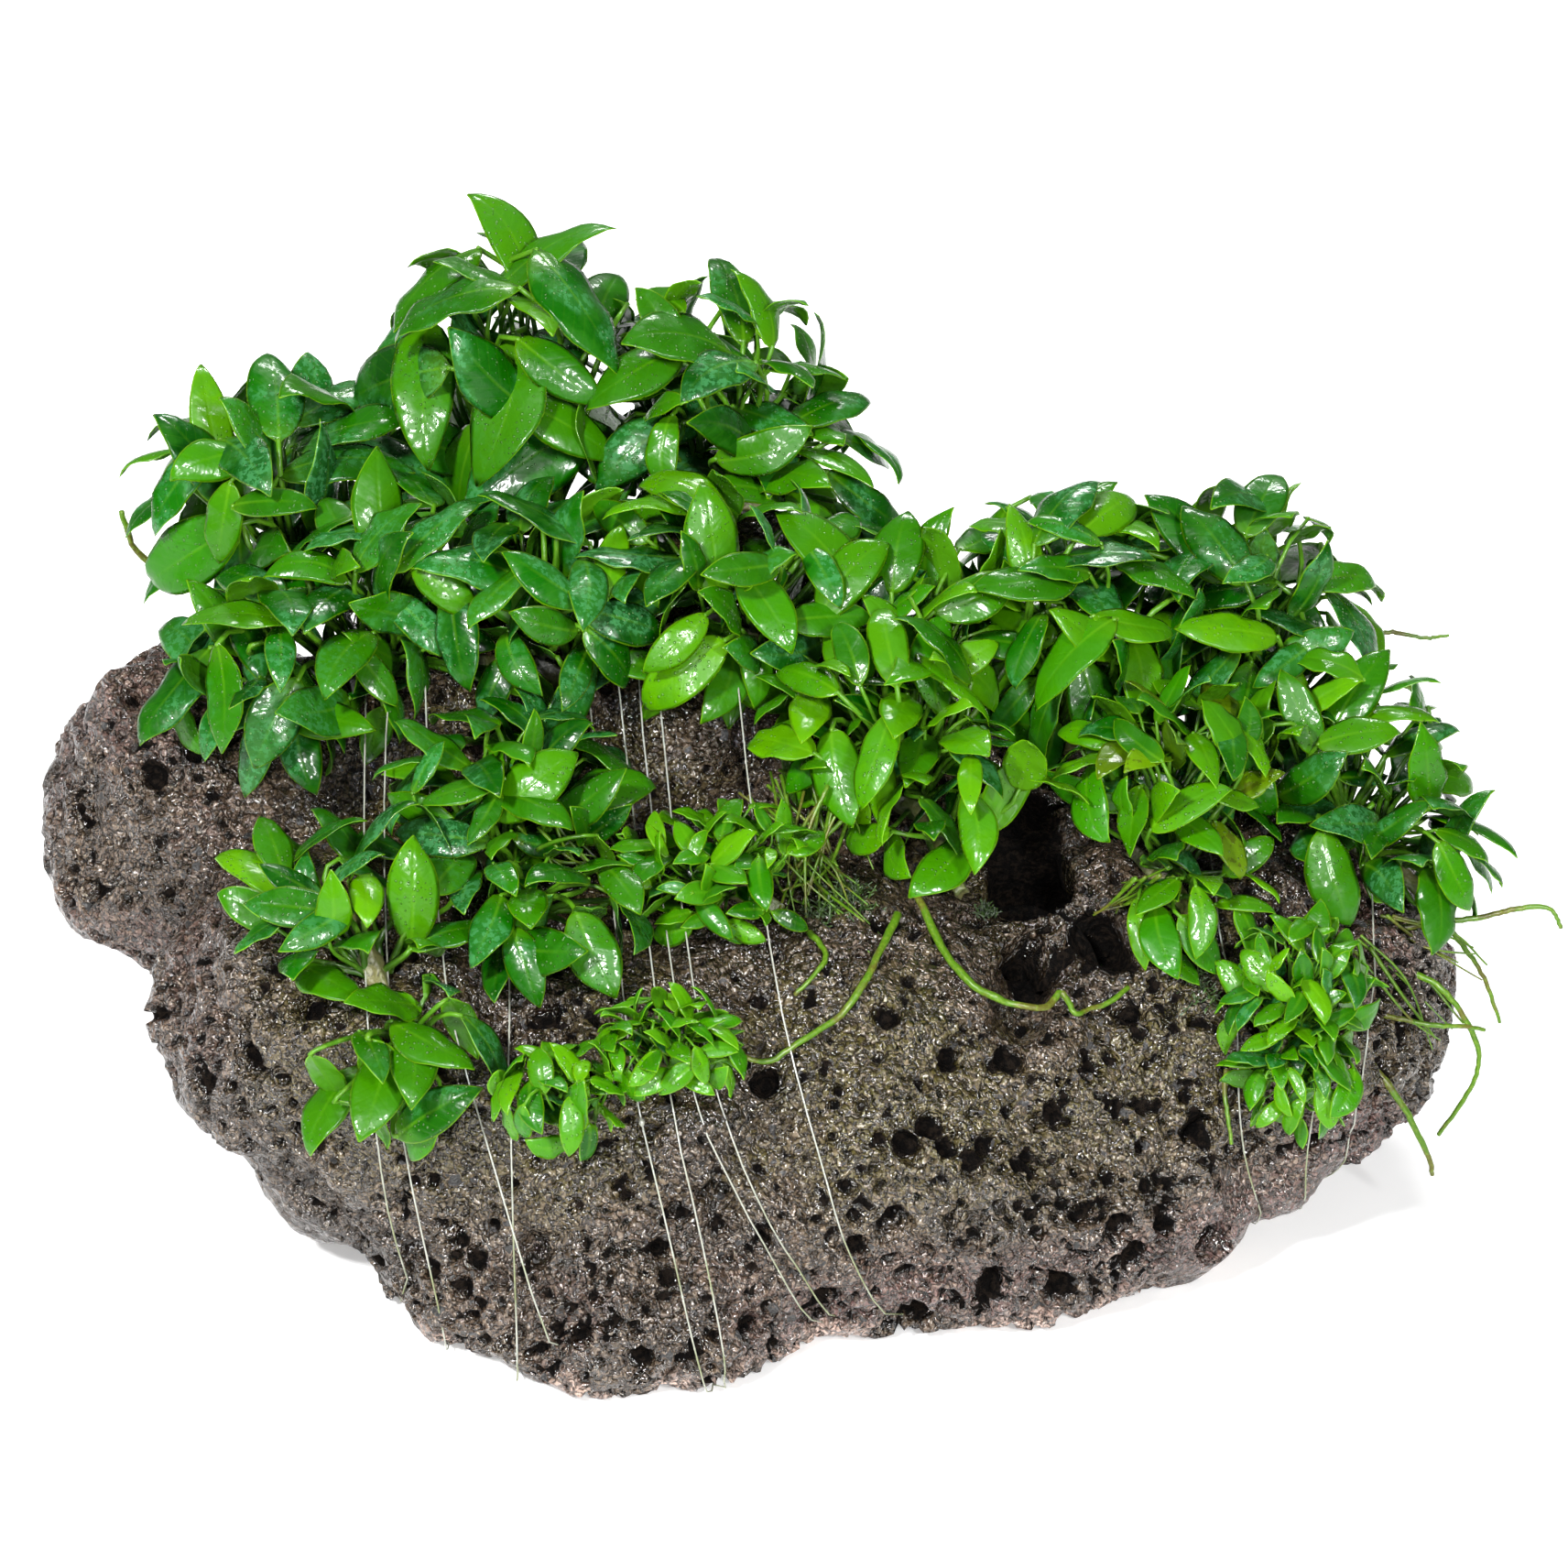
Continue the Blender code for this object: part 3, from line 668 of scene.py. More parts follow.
# Deep single holes on the front, painted black as shade by depth: place, radius and depth, in millimetres.
HOLES = [
    ((40, -8, 56), 7.5, 15.0), ((39, -22, 52), 4.0, 10.0),
    ((39, -27, 50), 3.8, 9.0), ((50, -22, 54), 4.0, 6.0),
    ((52, -25, 53), 3.6, 5.0), ((54, -32, 46), 2.6, 4.0),
    ((19, -57, 38), 2.6, 4.2), ((23, -55, 41), 2.4, 4.0), ((26, -56, 37), 2.4, 4.2),
    ((-2, -53, 47), 2.6, 4.2), ((60, -47, 17), 2.8, 5.0), ((70, -43, 10), 4.6, 8.0),
    ((32, -60, 14), 3.0, 5.0), ((21, -57, 5), 3.4, 5.0), ((44, -58, 9), 3.0, 4.5),
    ((42, -39, 46), 2.2, 3.4), ((48, -38, 41), 2.0, 3.2), ((16, -43, 53), 2.6, 4.0),
    ((28, -47, 48), 2.2, 3.4), ((36, -44, 45), 2.2, 3.4), ((55, -52, 14), 2.6, 4.0),
    ((-22, -71, 7), 2.4, 3.4), ((-50, -62, 20), 2.2, 3.2), ((-80, -40, 44), 3.2, 4.5),
    ((-74, -46, 36), 3.0, 4.5), ((84, -38, 22), 2.4, 3.6), ((-104, 10, 66), 2.6, 4.0),
]


# Cavities, sunk a little and painted black as shade: x and height up the view of the middle, half width and
# half height, in mm.
CAVES = [(38.5, 51.5, 7.2, 8.5), (39.2, 30.8, 3.6, 6.0), (49.5, 36.0, 4.0, 4.0)]


def spherical_pit(offsets, normal, radius, depth):
    """How far each point sinks into a round hole that opens at the middle."""
    flat = offsets - np.outer(offsets @ normal, normal)
    share = np.clip(np.linalg.norm(flat, axis=1) / radius, 0.0, 1.0)
    return depth * np.sqrt(1.0 - share ** 2)


def stone_mesh(node):
    """The CAD stone as a fine skin with dents, holes and thousands of open bubbles, and painted shade,
    darker with depth, kept per point for its holes and cavities.
    """
    mesh = remeshed("stone_surface", node, STONE_VOXEL)
    verts = coordinates(mesh)
    outward = normals(mesh)
    rng = np.random.default_rng(7)

    wander = np.array([
        noise.fractal(Vector(place) * 95.0, 0.9, 2.1, 4) for place in verts
    ])
    foot = np.clip(verts[:, 2] / (10 * MM), 0.0, 1.0)
    verts -= outward * (((wander * 1.5 + 0.5) * (0.25 + 0.75 * foot))[:, None] * MM)
    verts[:, 2] = np.maximum(verts[:, 2], 0.0)

    finder = KDTree(len(verts))
    for index, place in enumerate(verts):
        finder.insert(place, index)
    finder.balance()
    sink = np.zeros(len(verts))
    painted_shade = np.zeros(len(verts))

    # Sinks the points into a hole and paints shade there, darker with depth.
    def press(centre, radius, depth, shade):
        near = finder.find_range(centre, radius * 1.3)
        if not near:
            return
        index = np.array([item[1] for item in near])
        normal = unit(outward[index].mean(axis=0))
        depths = spherical_pit(verts[index] - np.asarray(centre), normal, radius, depth)
        sink[index] = np.maximum(sink[index], depths)
        painted_shade[index] = np.maximum(painted_shade[index], shade * depths / depth)

    for place, radius, depth in SCALLOPS:
        on_skin = verts[finder.find(Vector(place) * MM)[1]]
        near = finder.find_range(on_skin, radius * MM)
        index = np.array([item[1] for item in near])
        share = np.array([item[2] for item in near]) / (radius * MM)
        verts[index] -= outward[index] * ((1 - share ** 2) ** 2 * depth * MM)[:, None]
    for place, radius, depth in HOLES:
        on_skin = verts[finder.find(Vector(place) * MM)[1]]
        press(on_skin, radius * MM, depth * MM, 1.0)
    up_the_view = verts @ VIEW_UP
    for x, height, half_width, half_height in CAVES:
        away = np.hypot((verts[:, 0] - x * MM) / half_width, (up_the_view - height * MM) / half_height)
        inside = np.clip((1.15 * MM - away) / (0.3 * MM), 0.0, 1.0) * (verts[:, 1] < 15 * MM)
        # Painted shade: the cavities are darkened fully.
        painted_shade = np.maximum(painted_shade, inside)
        verts += inside[:, None] * np.array([0.0, 3.0 * MM, -2.0 * MM])
    low = np.clip(1.0 - verts[:, 2] / (42 * MM), 0.0, 1.0)
    right = np.clip((verts[:, 0] + 10 * MM) / (80 * MM), 0.0, 1.0)
    patches = np.array([
        noise.noise(Vector(place) * 55.0) for place in verts
    ])
    weight = 0.25 + 0.6 * low + 0.35 * right + 0.9 * np.clip(patches, 0.0, 1.0)
    weight /= weight.sum()
    for count, small, large in VESICLES:
        places = rng.choice(len(verts), size=count, replace=False, p=weight)
        sizes = small + (large - small) * rng.random(count) ** 1.8
        for place, size in zip(places, sizes):
            depth = size * (1.2 + 0.9 * rng.random())
            press(verts[place].copy(), size * MM, depth * MM, 0.35 + 0.65 * rng.random() ** 0.5)

    fine = np.array([
        noise.noise(Vector(place) * 520.0) + 0.6 * noise.noise(Vector(place) * 1100.0)
        for place in verts
    ])
    verts -= outward * (sink + (fine * 0.16 + 0.1) * MM)[:, None]
    verts[:, 2] = np.maximum(verts[:, 2], 0.0)
    set_coordinates(mesh, verts)

    mesh.calc_loop_triangles()
    body = bpy.data.objects.new("stone_fine", mesh)
    bpy.context.scene.collection.objects.link(body)
    fewer = body.modifiers.new("fewer", "DECIMATE")
    fewer.ratio = min(1.0, STONE_TRIANGLES / len(mesh.loop_triangles))
    fewer.use_collapse_triangulate = True
    made = with_modifiers(body)

    finder = KDTree(len(verts))
    for index, place in enumerate(verts):
        finder.insert(place, index)
    finder.balance()
    nearest = [finder.find(place)[1] for place in coordinates(made)]
    # The painted shade goes with the mesh as a per-point value.
    add_attribute(made, "pit_shade", painted_shade[nearest])
    return made


def add_stone(nodes):
    mesh = stone_mesh(nodes["stone"])
    stone = object_from("stone_surface", mesh, [stone_material(), pore_shade_material()])
    pit_shade = np.empty(len(mesh.vertices), dtype=np.float32)
    mesh.attributes["pit_shade"].data.foreach_get("value", pit_shade)
    corners = np.empty(len(mesh.loops), dtype=np.int32)
    mesh.loops.foreach_get("vertex_index", corners)
    # Faces deep in the holes take the near-black pore material: painted shade.
    deep = pit_shade[corners.reshape(-1, 3)].mean(axis=1) > PORE_SHADE_DEPTH
    mesh.polygons.foreach_set("material_index", deep.astype(np.int32))
    mesh.update()
    skin = tree_of(coordinates(mesh), corners.reshape(-1, 3))
    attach(stone, "root")
    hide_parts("stone")
    return skin


# ---------------------------------------------------------------- leaves

# How finely a blade is divided: rows along it, and the places across its half widths.
FINE = (14, np.array([-1.0, -0.82, -0.52, -0.22, 0.0, 0.22, 0.52, 0.82, 1.0]))
COARSE = (10, np.array([-1.0, -0.75, -0.30, 0.0, 0.30, 0.75, 1.0]))
SMALL_LEAF = 10.5 * MM
BLADE_THICKNESS = 0.34 * MM
STALK_STEPS = 7


def blade_outline(along, fullness, widest):
    """Half width, as a share of its most, of a blade with a round base and a pointed tip."""
    low = np.clip(1.0 - along / widest, 0.0, 1.0)
    high = np.clip((along - widest) / (1.0 - widest), 0.0, 1.0)
    base = (1.0 - low ** 2) ** fullness
    point = 1.0 - high ** 2.1
    return np.clip(np.minimum(base, point), 0.05, 1.0)


def blade(base, tip, width, face, rng, bend=0.8, fold=0.25, curl=0.15, recurve=0.6, twist=0.0,
          sweep=0.0, wave=0.05, fine=True):
    """A thin closed leaf blade from base to tip, and its margin, rib and along values."""
    steps, across = FINE if fine else COARSE
    along = np.linspace(0.0, 1.0, steps + 1)
    angles = bend * (0.5 - along) - recurve * np.clip((along - 0.72) / 0.28, 0, 1) ** 2
    flat = np.stack([np.cos(angles), np.sin(angles)], axis=1)
    middle = np.concatenate([[[0.0, 0.0]], np.cumsum((flat[1:] + flat[:-1]) / 2, axis=0)])
    end = middle[-1]
    turn = math.atan2(end[1], end[0])
    spin = np.array([[math.cos(turn), math.sin(turn)], [-math.sin(turn), math.cos(turn)]])
    middle = middle @ spin.T / np.linalg.norm(end)
    ahead_flat = flat @ spin.T

    chord = tip - base
    length = np.linalg.norm(chord)
    forward = chord / length
    over = unit(face - forward * face.dot(forward))
    side = np.cross(forward, over)
    spine = base + length * (middle[:, :1] * forward + middle[:, 1:] * over)
    spine = spine + side * (sweep * length * 4 * along * (1 - along))[:, None]
    tangent = ahead_flat[:, :1] * forward + ahead_flat[:, 1:] * over
    lift = -ahead_flat[:, 1:] * forward + ahead_flat[:, :1] * over

    half = width / 2 * blade_outline(along, 0.58 + 0.14 * rng.random(), 0.40 + 0.10 * rng.random())
    phase = rng.random() * 6.28
    turns = 1.5 + 1.5 * rng.random()
    top = np.empty((steps + 1, len(across), 3))
    thickness = np.empty((steps + 1, len(across)))
    for i, u in enumerate(along):
        roll = twist * (u - 0.3)
        sideways = side * math.cos(roll) + lift[i] * math.sin(roll)
        upward = lift[i] * math.cos(roll) - side * math.sin(roll)
        v = across
        spread = half[i] * v * math.cos(fold)
        rise = half[i] * (np.sqrt(v ** 2 + 0.02) - 0.141) * math.sin(fold)
        rise = rise - half[i] * curl * v ** 2
        rise = rise + half[i] * wave * 2 * np.sin(turns * 6.28 * u + phase + 1.2 * np.sign(v)) * v ** 2
        top[i] = spine[i] + np.outer(spread, sideways) + np.outer(rise, upward)
        thickness[i] = BLADE_THICKNESS * (1 - v ** 4) * (1.0 + 0.8 * np.exp(-(v / 0.15) ** 2))
    down = np.cross(np.gradient(top, axis=1), np.gradient(top, axis=0))
    down /= np.linalg.norm(down, axis=2, keepdims=True) + 1e-15
    if (down[steps // 2, len(across) // 2] @ lift[steps // 2]) > 0:
        down = -down
    inner = np.s_[1:-1, 1:-1]
    under = (top + down * thickness[..., None])[inner].reshape(-1, 3)

    rows, columns = top.shape[:2]
    index = np.arange(rows * columns).reshape(rows, columns)
    below = index.copy()
    below[inner] = rows * columns + np.arange((rows - 2) * (columns - 2)).reshape(rows - 2, -1)
    faces = []
    for i in range(rows - 1):
        for j in range(columns - 1):
            faces.append([index[i, j], index[i, j + 1], index[i + 1, j + 1], index[i + 1, j]])
            faces.append([below[i, j], below[i + 1, j], below[i + 1, j + 1], below[i, j + 1]])
    verts = np.concatenate([top.reshape(-1, 3), under])

    edge = np.minimum(half[:, None] * (1 - np.abs(across)), (1 - along)[:, None] * length)
    rib = half[:, None] * np.abs(across)
    run = np.repeat(along[:, None], columns, axis=1)
    flags = np.zeros_like(run)

    def both(values, lower=None):
        return np.concatenate([values.ravel(), (values if lower is None else lower)[inner].ravel()])

    values = {
        "margin": both(edge),
        "rib": both(rib),
        "along": both(run),
        "under": both(flags, flags + 1.0),
    }
    return verts, faces, values, tangent[0]


def add_leaf(builder, root, base, tip, width, face, rng, youth, worn=0.0, fine=True, **shape):
    """A blade and its stalk, from a place on the rhizome."""
    fine = fine and np.linalg.norm(tip - base) > SMALL_LEAF
    verts, faces, values, start = blade(base, tip, width, face, rng, fine=fine, **shape)
    tone = rng.random()
    builder.add(verts, faces, 0, youth=youth, tone=tone, worn=worn, **values)
    reach = np.linalg.norm(base - root)
    over = unit(face - start * face.dot(start))
    first = root + 0.35 * reach * unit(0.8 * UP + unit(base - root))
    second = base - 0.38 * reach * unit(start + 0.55 * over)
    t = np.linspace(0.0, 1.0, STALK_STEPS + 1)[:, None]
    end = base + start * 0.6 * MM
    route = (1 - t) ** 3 * root + 3 * (1 - t) ** 2 * t * first + 3 * (1 - t) * t ** 2 * second + t ** 3 * end
    thick = np.linspace(0.042, 0.026, len(route)) * min(np.linalg.norm(tip - base), 17 * MM)
    stalk, stalk_faces = tube(route, thick, 6)
    count = len(route)
    run = np.append(np.repeat(np.linspace(0, 1, count), 6), [0.0, 1.0])
    builder.add(stalk, stalk_faces, 1, along=run, tone=tone, youth=youth)


# Each plant: usual leaf length in millimetres, how young it looks (0 deep to 1 bright).
HABIT = {
    "back_left": (20, 0.35), "peak": (23, 0.25), "back_centre": (18, 0.35),
    "mid_left": (17, 0.25), "mid_centre": (18, 0.15), "mid_right": (16, 0.45),
    "centre": (15, 0.80), "right_back": (17, 0.45), "right_peak": (18, 0.35),
    "right_end": (15, 0.40), "right_front": (13, 0.60), "right_plantlets": (8, 0.60),
    "front_left": (16, 0.50), "front_centre": (15, 0.30), "rosettes": (8.5, 0.70),
    "bright_rosette": (8, 0.95), "front_rosette": (9.5, 0.90),
}
WIDTH_SHARE = 0.46
# How many places each layer of a plant is offered, before crowding thins them.
FILL_TRIES = 900

# Plants with some old, yellowing leaves, and their share.
OLD_SHARE = {"right_front": 0.12}


def surface_samples(verts, tris, count, rng):
    """Random places on a mesh and the outward normals there."""
    corners = verts[tris]
    cross = np.cross(corners[:, 1] - corners[:, 0], corners[:, 2] - corners[:, 0])
    area = np.linalg.norm(cross, axis=1)
    chosen = rng.choice(len(tris), size=count, p=area / area.sum())
    a = rng.random((count, 1))
    b = rng.random((count, 1))
    flip = (a + b) > 1
    a = np.where(flip, 1 - a, a)
    b = np.where(flip, 1 - b, b)
    c = corners[chosen]
    places = c[:, 0] + a * (c[:, 1] - c[:, 0]) + b * (c[:, 2] - c[:, 0])
    return places, cross[chosen] / area[chosen][:, None]




# Places that no filling leaf hides in the front view: x, height up the view and radius, in mm.
BARE = [
    (41.5, 49.0, 9.0), (48.5, 42.0, 6.5), (33.0, 41.0, 6.0), (6.5, 44.0, 6.5), (12.0, 38.0, 6.0),
]


def hides_bare(places):
    """Whether a leaf would hide a place that stays bare in the front view."""
    for place in places:
        spot = (place[0], place @ VIEW_UP)
        if any(math.dist(spot, (x * MM, up * MM)) < size * MM for x, up, size in BARE):
            return True
    return False


class Crowns:
    """All leaf masses and rhizomes, to place leaves by."""

    def __init__(self, nodes):
        self.meshes = {}
        self.trees = {}
        self.rhizomes = {}
        for plant in HABIT:
            verts, tris = world_arrays(nodes["leaves_" + plant])
            self.meshes[plant] = (verts, tris)
            self.trees[plant] = tree_of(verts, tris)
            self.rhizomes[plant] = world_arrays(nodes["rhizome_" + plant])[0]
        self.stone = tree_of(*world_arrays(nodes["stone"]))

    def nearest_other(self, plant, place, limit):
        """How near the other leaf masses come to a place, up to a limit."""
        best = limit
        for other, tree in self.trees.items():
            if other != plant:
                found = tree.find_nearest(place, best)
                if found[0] is not None:
                    best = found[3]
        return best

    def within(self, plant, place, depth):
        """Whether a place is deeper than that inside the plant's leaf mass."""
        spot, normal, _, gap = self.trees[plant].find_nearest(Vector(place))
        return gap > depth and (Vector(place) - spot).dot(normal) < 0.0

    def sunk(self, place, clearance):
        """Whether a place is in the stone or almost touches it."""
        spot, normal, _, _ = self.stone.find_nearest(Vector(place))
        return (Vector(place) - spot).dot(normal) < clearance

    def above_stone(self, verts, clearance):
        """The points, with any that would be in the stone lifted onto it."""
        for index, place in enumerate(verts):
            spot, normal, _, gap = self.stone.find_nearest(Vector(place))
            height = (Vector(place) - spot).dot(normal)
            if height < clearance and gap < 0.02:
                verts[index] = np.array(spot + normal * clearance)
        return verts


def fill_plant(builder, crowns, plant, rng):
    """Leaves that roof a plant's leaf mass, tips outwards and down, like shingles."""
    length, youth = HABIT[plant]
    verts, tris = crowns.meshes[plant]
    low, high = verts.min(axis=0), verts.max(axis=0)
    middle = (low + high) / 2
    crown = np.array([middle[0], middle[1], low[2] + 0.75 * (high[2] - low[2])])
    heart = np.array([middle[0], middle[1], low[2] + 0.15 * (high[2] - low[2])])
    rhizome = crowns.rhizomes[plant]
    taken = []
    # Size, spacing and depth below the skin, as shares of the leaf length, and how much younger or older the
    # layer looks; deeper layers look older and darker green, which stands in for shade inside the leaf mass.
    layers = [(1.0, 0.38, 0.0, 0.0), (0.95, 0.46, 0.30, -0.10), (0.95, 0.42, 0.80, -0.5)]
    for scale, spacing, inset, age_and_shade in layers:
        places, outward = surface_samples(verts, tris, FILL_TRIES, rng)
        apart = length * spacing * MM
        for place, normal in zip(places, outward):
            if normal[2] < -0.6:
                continue
            if crowns.nearest_other(plant, place, 4 * MM) < 2.0 * MM and rng.random() < 0.6:
                continue
            if normal[2] < 0.1:
                gap = crowns.stone.find_nearest(Vector(place))[3]
                if gap < 6.5 * MM and rng.random() < 0.35:
                    continue
            spot = place - normal * inset * length * MM
            if inset > 0.5 and not crowns.within(plant, spot, 1.5 * MM):
                continue
            if any(np.linalg.norm(spot - other) < apart for other in taken):
                continue
            taken.append(spot)
            size = length * scale * (0.68 + 0.5 * rng.random()) * MM
            apex = crown + rng.uniform(-0.35, 0.35, 3) * (high - low)
            away = place - apex
            along = away - normal * away.dot(normal)
            reach = np.linalg.norm(along) / (length * MM)
            along = unit(along) * min(1.0, 0.35 + reach)
            stray = rng.normal(size=3) * 0.55
            stray -= normal * stray.dot(normal)
            lift = 0.35 + 0.55 * rng.random() + inset
            heading = unit(along + stray + normal * lift + 0.15 * UP)
            base = spot - heading * size * (0.60 - 0.1 * inset) - normal * 0.4 * MM
            tip = base + heading * size
            face = unit(normal * 0.8 + 0.7 * UP + rng.normal(size=3) * 0.22)
            line = [base + heading * size * share for share in (0.0, 0.25, 0.5, 0.75, 1.0)]
            if hides_bare(line):
                continue
            if crowns.sunk((base + tip) / 2, 1.5 * MM) or crowns.sunk(tip, 0.0):
                continue
            root = rhizome[np.argmin(np.linalg.norm(rhizome - (0.5 * base + 0.5 * heart), axis=1))]
            # Deeper leaves get a darker green: painted shade inside the leaf mass, also read as older
            # leaves.
            youth_and_shade = float(np.clip(youth + age_and_shade + rng.normal() * 0.26 - 0.25 * inset, 0.0, 1.0))
            old = inset == 0.0 and rng.random() < OLD_SHARE.get(plant, 0.0)
            worn = 0.5 + 0.5 * rng.random() if old else 0.0
            add_leaf(
                builder, root, base, tip, size * (WIDTH_SHARE + 0.05 * rng.normal()), face,
                rng, youth_and_shade, worn=worn, fine=inset < 0.5,
                bend=0.4 + 0.7 * rng.random(), fold=0.04 + 0.22 * rng.random(),
                curl=0.15 + 0.25 * rng.random(), recurve=0.2 + 0.8 * rng.random(),
                twist=rng.normal() * 0.3, sweep=rng.normal() * 0.06, wave=0.02 + 0.05 * rng.random(),
            )


def add_foliage(nodes):
    crowns = Crowns(nodes)
    materials = [leaf_material(), petiole_material()]
    for order, plant in enumerate(HABIT):
        rng = np.random.default_rng(100 + order)
        builder = Builder()
        fill_plant(builder, crowns, plant, rng)
        foliage = builder.build("foliage_" + plant, materials)
        mesh = foliage.data
        set_coordinates(mesh, crowns.above_stone(coordinates(mesh), 0.5 * MM))
        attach(foliage, "root")
        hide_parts("leaves_" + plant)


# ---------------------------------------------------------------- rhizomes, roots and lines


def add_rhizomes(nodes):
    material = rhizome_material()
    for plant in HABIT:
        mesh = remeshed("rhizome_skin_" + plant, nodes["rhizome_" + plant], 0.45 * MM)
        verts = coordinates(mesh)
        outward = normals(mesh)
        rings = np.array([
            0.5 + 0.5 * math.sin(place[0] * 2100.0 + 3 * noise.noise(Vector(place) * 200.0))
            for place in verts
        ])
        lumps = np.array([noise.fractal(Vector(place) * 420.0, 0.9, 2.1, 3) for place in verts])
        verts += outward * (((lumps * 0.35 + rings * 0.22) - 0.2) * MM)[:, None]
        set_coordinates(mesh, verts)
        stem = object_from("rhizome_skin_" + plant, mesh, [material])
        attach(stem, "root")
        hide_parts("rhizome_" + plant)


def ring_centres(node, reach):
    """The middles of a thin tube's rings, in order along it."""
    verts, tris = world_arrays(node)
    parent = list(range(len(verts)))

    def head(index):
        while parent[index] != index:
            parent[index] = parent[parent[index]]
            index = parent[index]
        return index

    finder = KDTree(len(verts))
    for index, place in enumerate(verts):
        finder.insert(place, index)
    finder.balance()
    for index, place in enumerate(verts):
        for _, other, _ in finder.find_range(place, reach):
            parent[head(other)] = head(index)
    groups = {}
    for index in range(len(verts)):
        groups.setdefault(head(index), []).append(index)
    middle = {key: verts[members].mean(axis=0) for key, members in groups.items()}
    links = {key: set() for key in groups}
    for a, b, c in tris:
        for one, two in ((a, b), (b, c), (c, a)):
            one, two = head(one), head(two)
            if one != two:
                links[one].add(two)
                links[two].add(one)
    ends = [key for key, near in links.items() if len(near) == 1]
    start = ends[0] if ends else next(iter(links))
    order = [start]
    seen = {start}
    while True:
        onward = [key for key in links[order[-1]] if key not in seen]
        if not onward:
            break
        nearest = min(onward, key=lambda key: np.linalg.norm(middle[key] - middle[order[-1]]))
        order.append(nearest)
        seen.add(nearest)
    return np.array([middle[key] for key in order])


# The line with a knot, and the knot's place in millimetres.
KNOT_LINE = "line_middle_first"
LINE_STEPS = 3
LINE_RADIUS = 0.14 * MM
LINE_SIDES = 8
# Line points this near the stone are drawn onto it, and all of them stand this far off it.
LINE_REACH = 4.5 * MM
LINE_CLEARANCE = 0.42 * MM
LINE_SMOOTHINGS = 5
# Points of a CAD line nearer than this belong to one ring of its tube.
RING_SPREAD = 0.62 * MM
KNOT = (-21.3, -62.0, 43.0)


def above_skin(route, skin, clearance, reach=0.0):
    """The points pushed out of the stone, and drawn onto it where they are within reach."""
    for index, place in enumerate(route):
        spot, normal, _, gap = skin.find_nearest(Vector(place))
        away = (Vector(place) - spot).normalized()
        if away.dot(normal) < 0.0:
            route[index] = np.array(spot - away * clearance)
        elif gap < clearance or gap < reach:
            route[index] = np.array(spot + away * clearance)
    return route


def drawn_tight(route, skin, reach, clearance):
    """A closed route laid onto the stone's skin where it passes near, without sinking in."""
    route = above_skin(route.copy(), skin, clearance, reach)
    for _ in range(LINE_SMOOTHINGS):
        route = (np.roll(route, 1, axis=0) + 2 * route + np.roll(route, -1, axis=0)) / 4
        route = above_skin(route, skin, clearance)
    route[:, 2] = np.maximum(route[:, 2], 0.0)
    return route


def add_lines(nodes, skin):
    material = line_material()
    for name in nodes:
        if not name.startswith("line_"):
            continue
        centres = ring_centres(nodes[name], RING_SPREAD)
        finer = smooth_route([*centres, centres[0]], LINE_STEPS)[:-1]
        centres = drawn_tight(finer, skin, LINE_REACH, LINE_CLEARANCE)
        builder = Builder()
        verts, faces = tube(centres, LINE_RADIUS, LINE_SIDES, closed=True)
        builder.add(verts, faces)
        if name == KNOT_LINE:
            nearest = np.argmin(np.linalg.norm(centres - np.array(KNOT) * MM, axis=1))
            step = unit(centres[nearest + 1] - centres[nearest]) * 0.35 * MM
            route = centres[nearest] + np.outer(np.arange(-2, 3), step)
            verts, faces = tube(route, np.array([0.18, 0.42, 0.52, 0.40, 0.16]) * MM, 8)
            builder.add(verts, faces)
        piece = builder.build("nylon_" + name[len("line_"):], [material])
        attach(piece, "root")
        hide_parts(name)


# Each long root: its name, radius, whether it lies on the stone, and its points, as in the CAD.
ROOTS = [
    ("curling", 0.7, True,
     [(21, -20, 62), (27, -34, 55), (36, -40, 54), (45, -36, 56), (48, -40, 53), (53, -36, 55)]),
    ("crossing", 0.65, True, [(18, -26, 61), (11, -40, 53), (1, -48, 48), (-8, -48, 47)]),
    ("short", 0.55, True, [(4, -30, 60), (7, -35, 57), (2, -40, 54)]),
    ("end_reaching", 0.6, False,
     [(99, -8, 47), (106, -9, 49), (113, -9, 50), (119, -8, 51), (124, -8, 51), (126, -9, 48)]),
    ("end_upper", 0.5, False,
     [(103, -6, 52), (109, -8, 46), (114, -10, 39), (117, -11, 31)]),
    ("end_middle", 0.6, False,
     [(98, -14, 44), (106, -18, 42), (112, -20, 33), (112, -20, 25), (107, -20, 15)]),
    ("end_lower", 0.65, False, [(92, -26, 36), (99, -30, 28), (104, -31, 18), (105, -30, 14)]),
    ("end_level", 0.5, False, [(95, -22, 40), (103, -24, 39), (109, -23, 38), (113, -21, 36)]),
    ("back_left_curl", 0.8, False, [(-96, 56, 80), (-104, 58, 78), (-110, 58, 82), (-112, 57, 90)]),
    ("back_upper", 0.45, False, [(96, 36, 76), (101, 38, 77), (107, 38, 76), (111, 37, 77)]),
    ("back_lower", 0.45, False, [(99, 30, 70), (104, 32, 70), (108, 32, 64), (108, 30, 58)]),
    ("front_drop", 0.5, True, [(70, -34, 38), (70, -38, 34), (71, -42, 28)]),
]


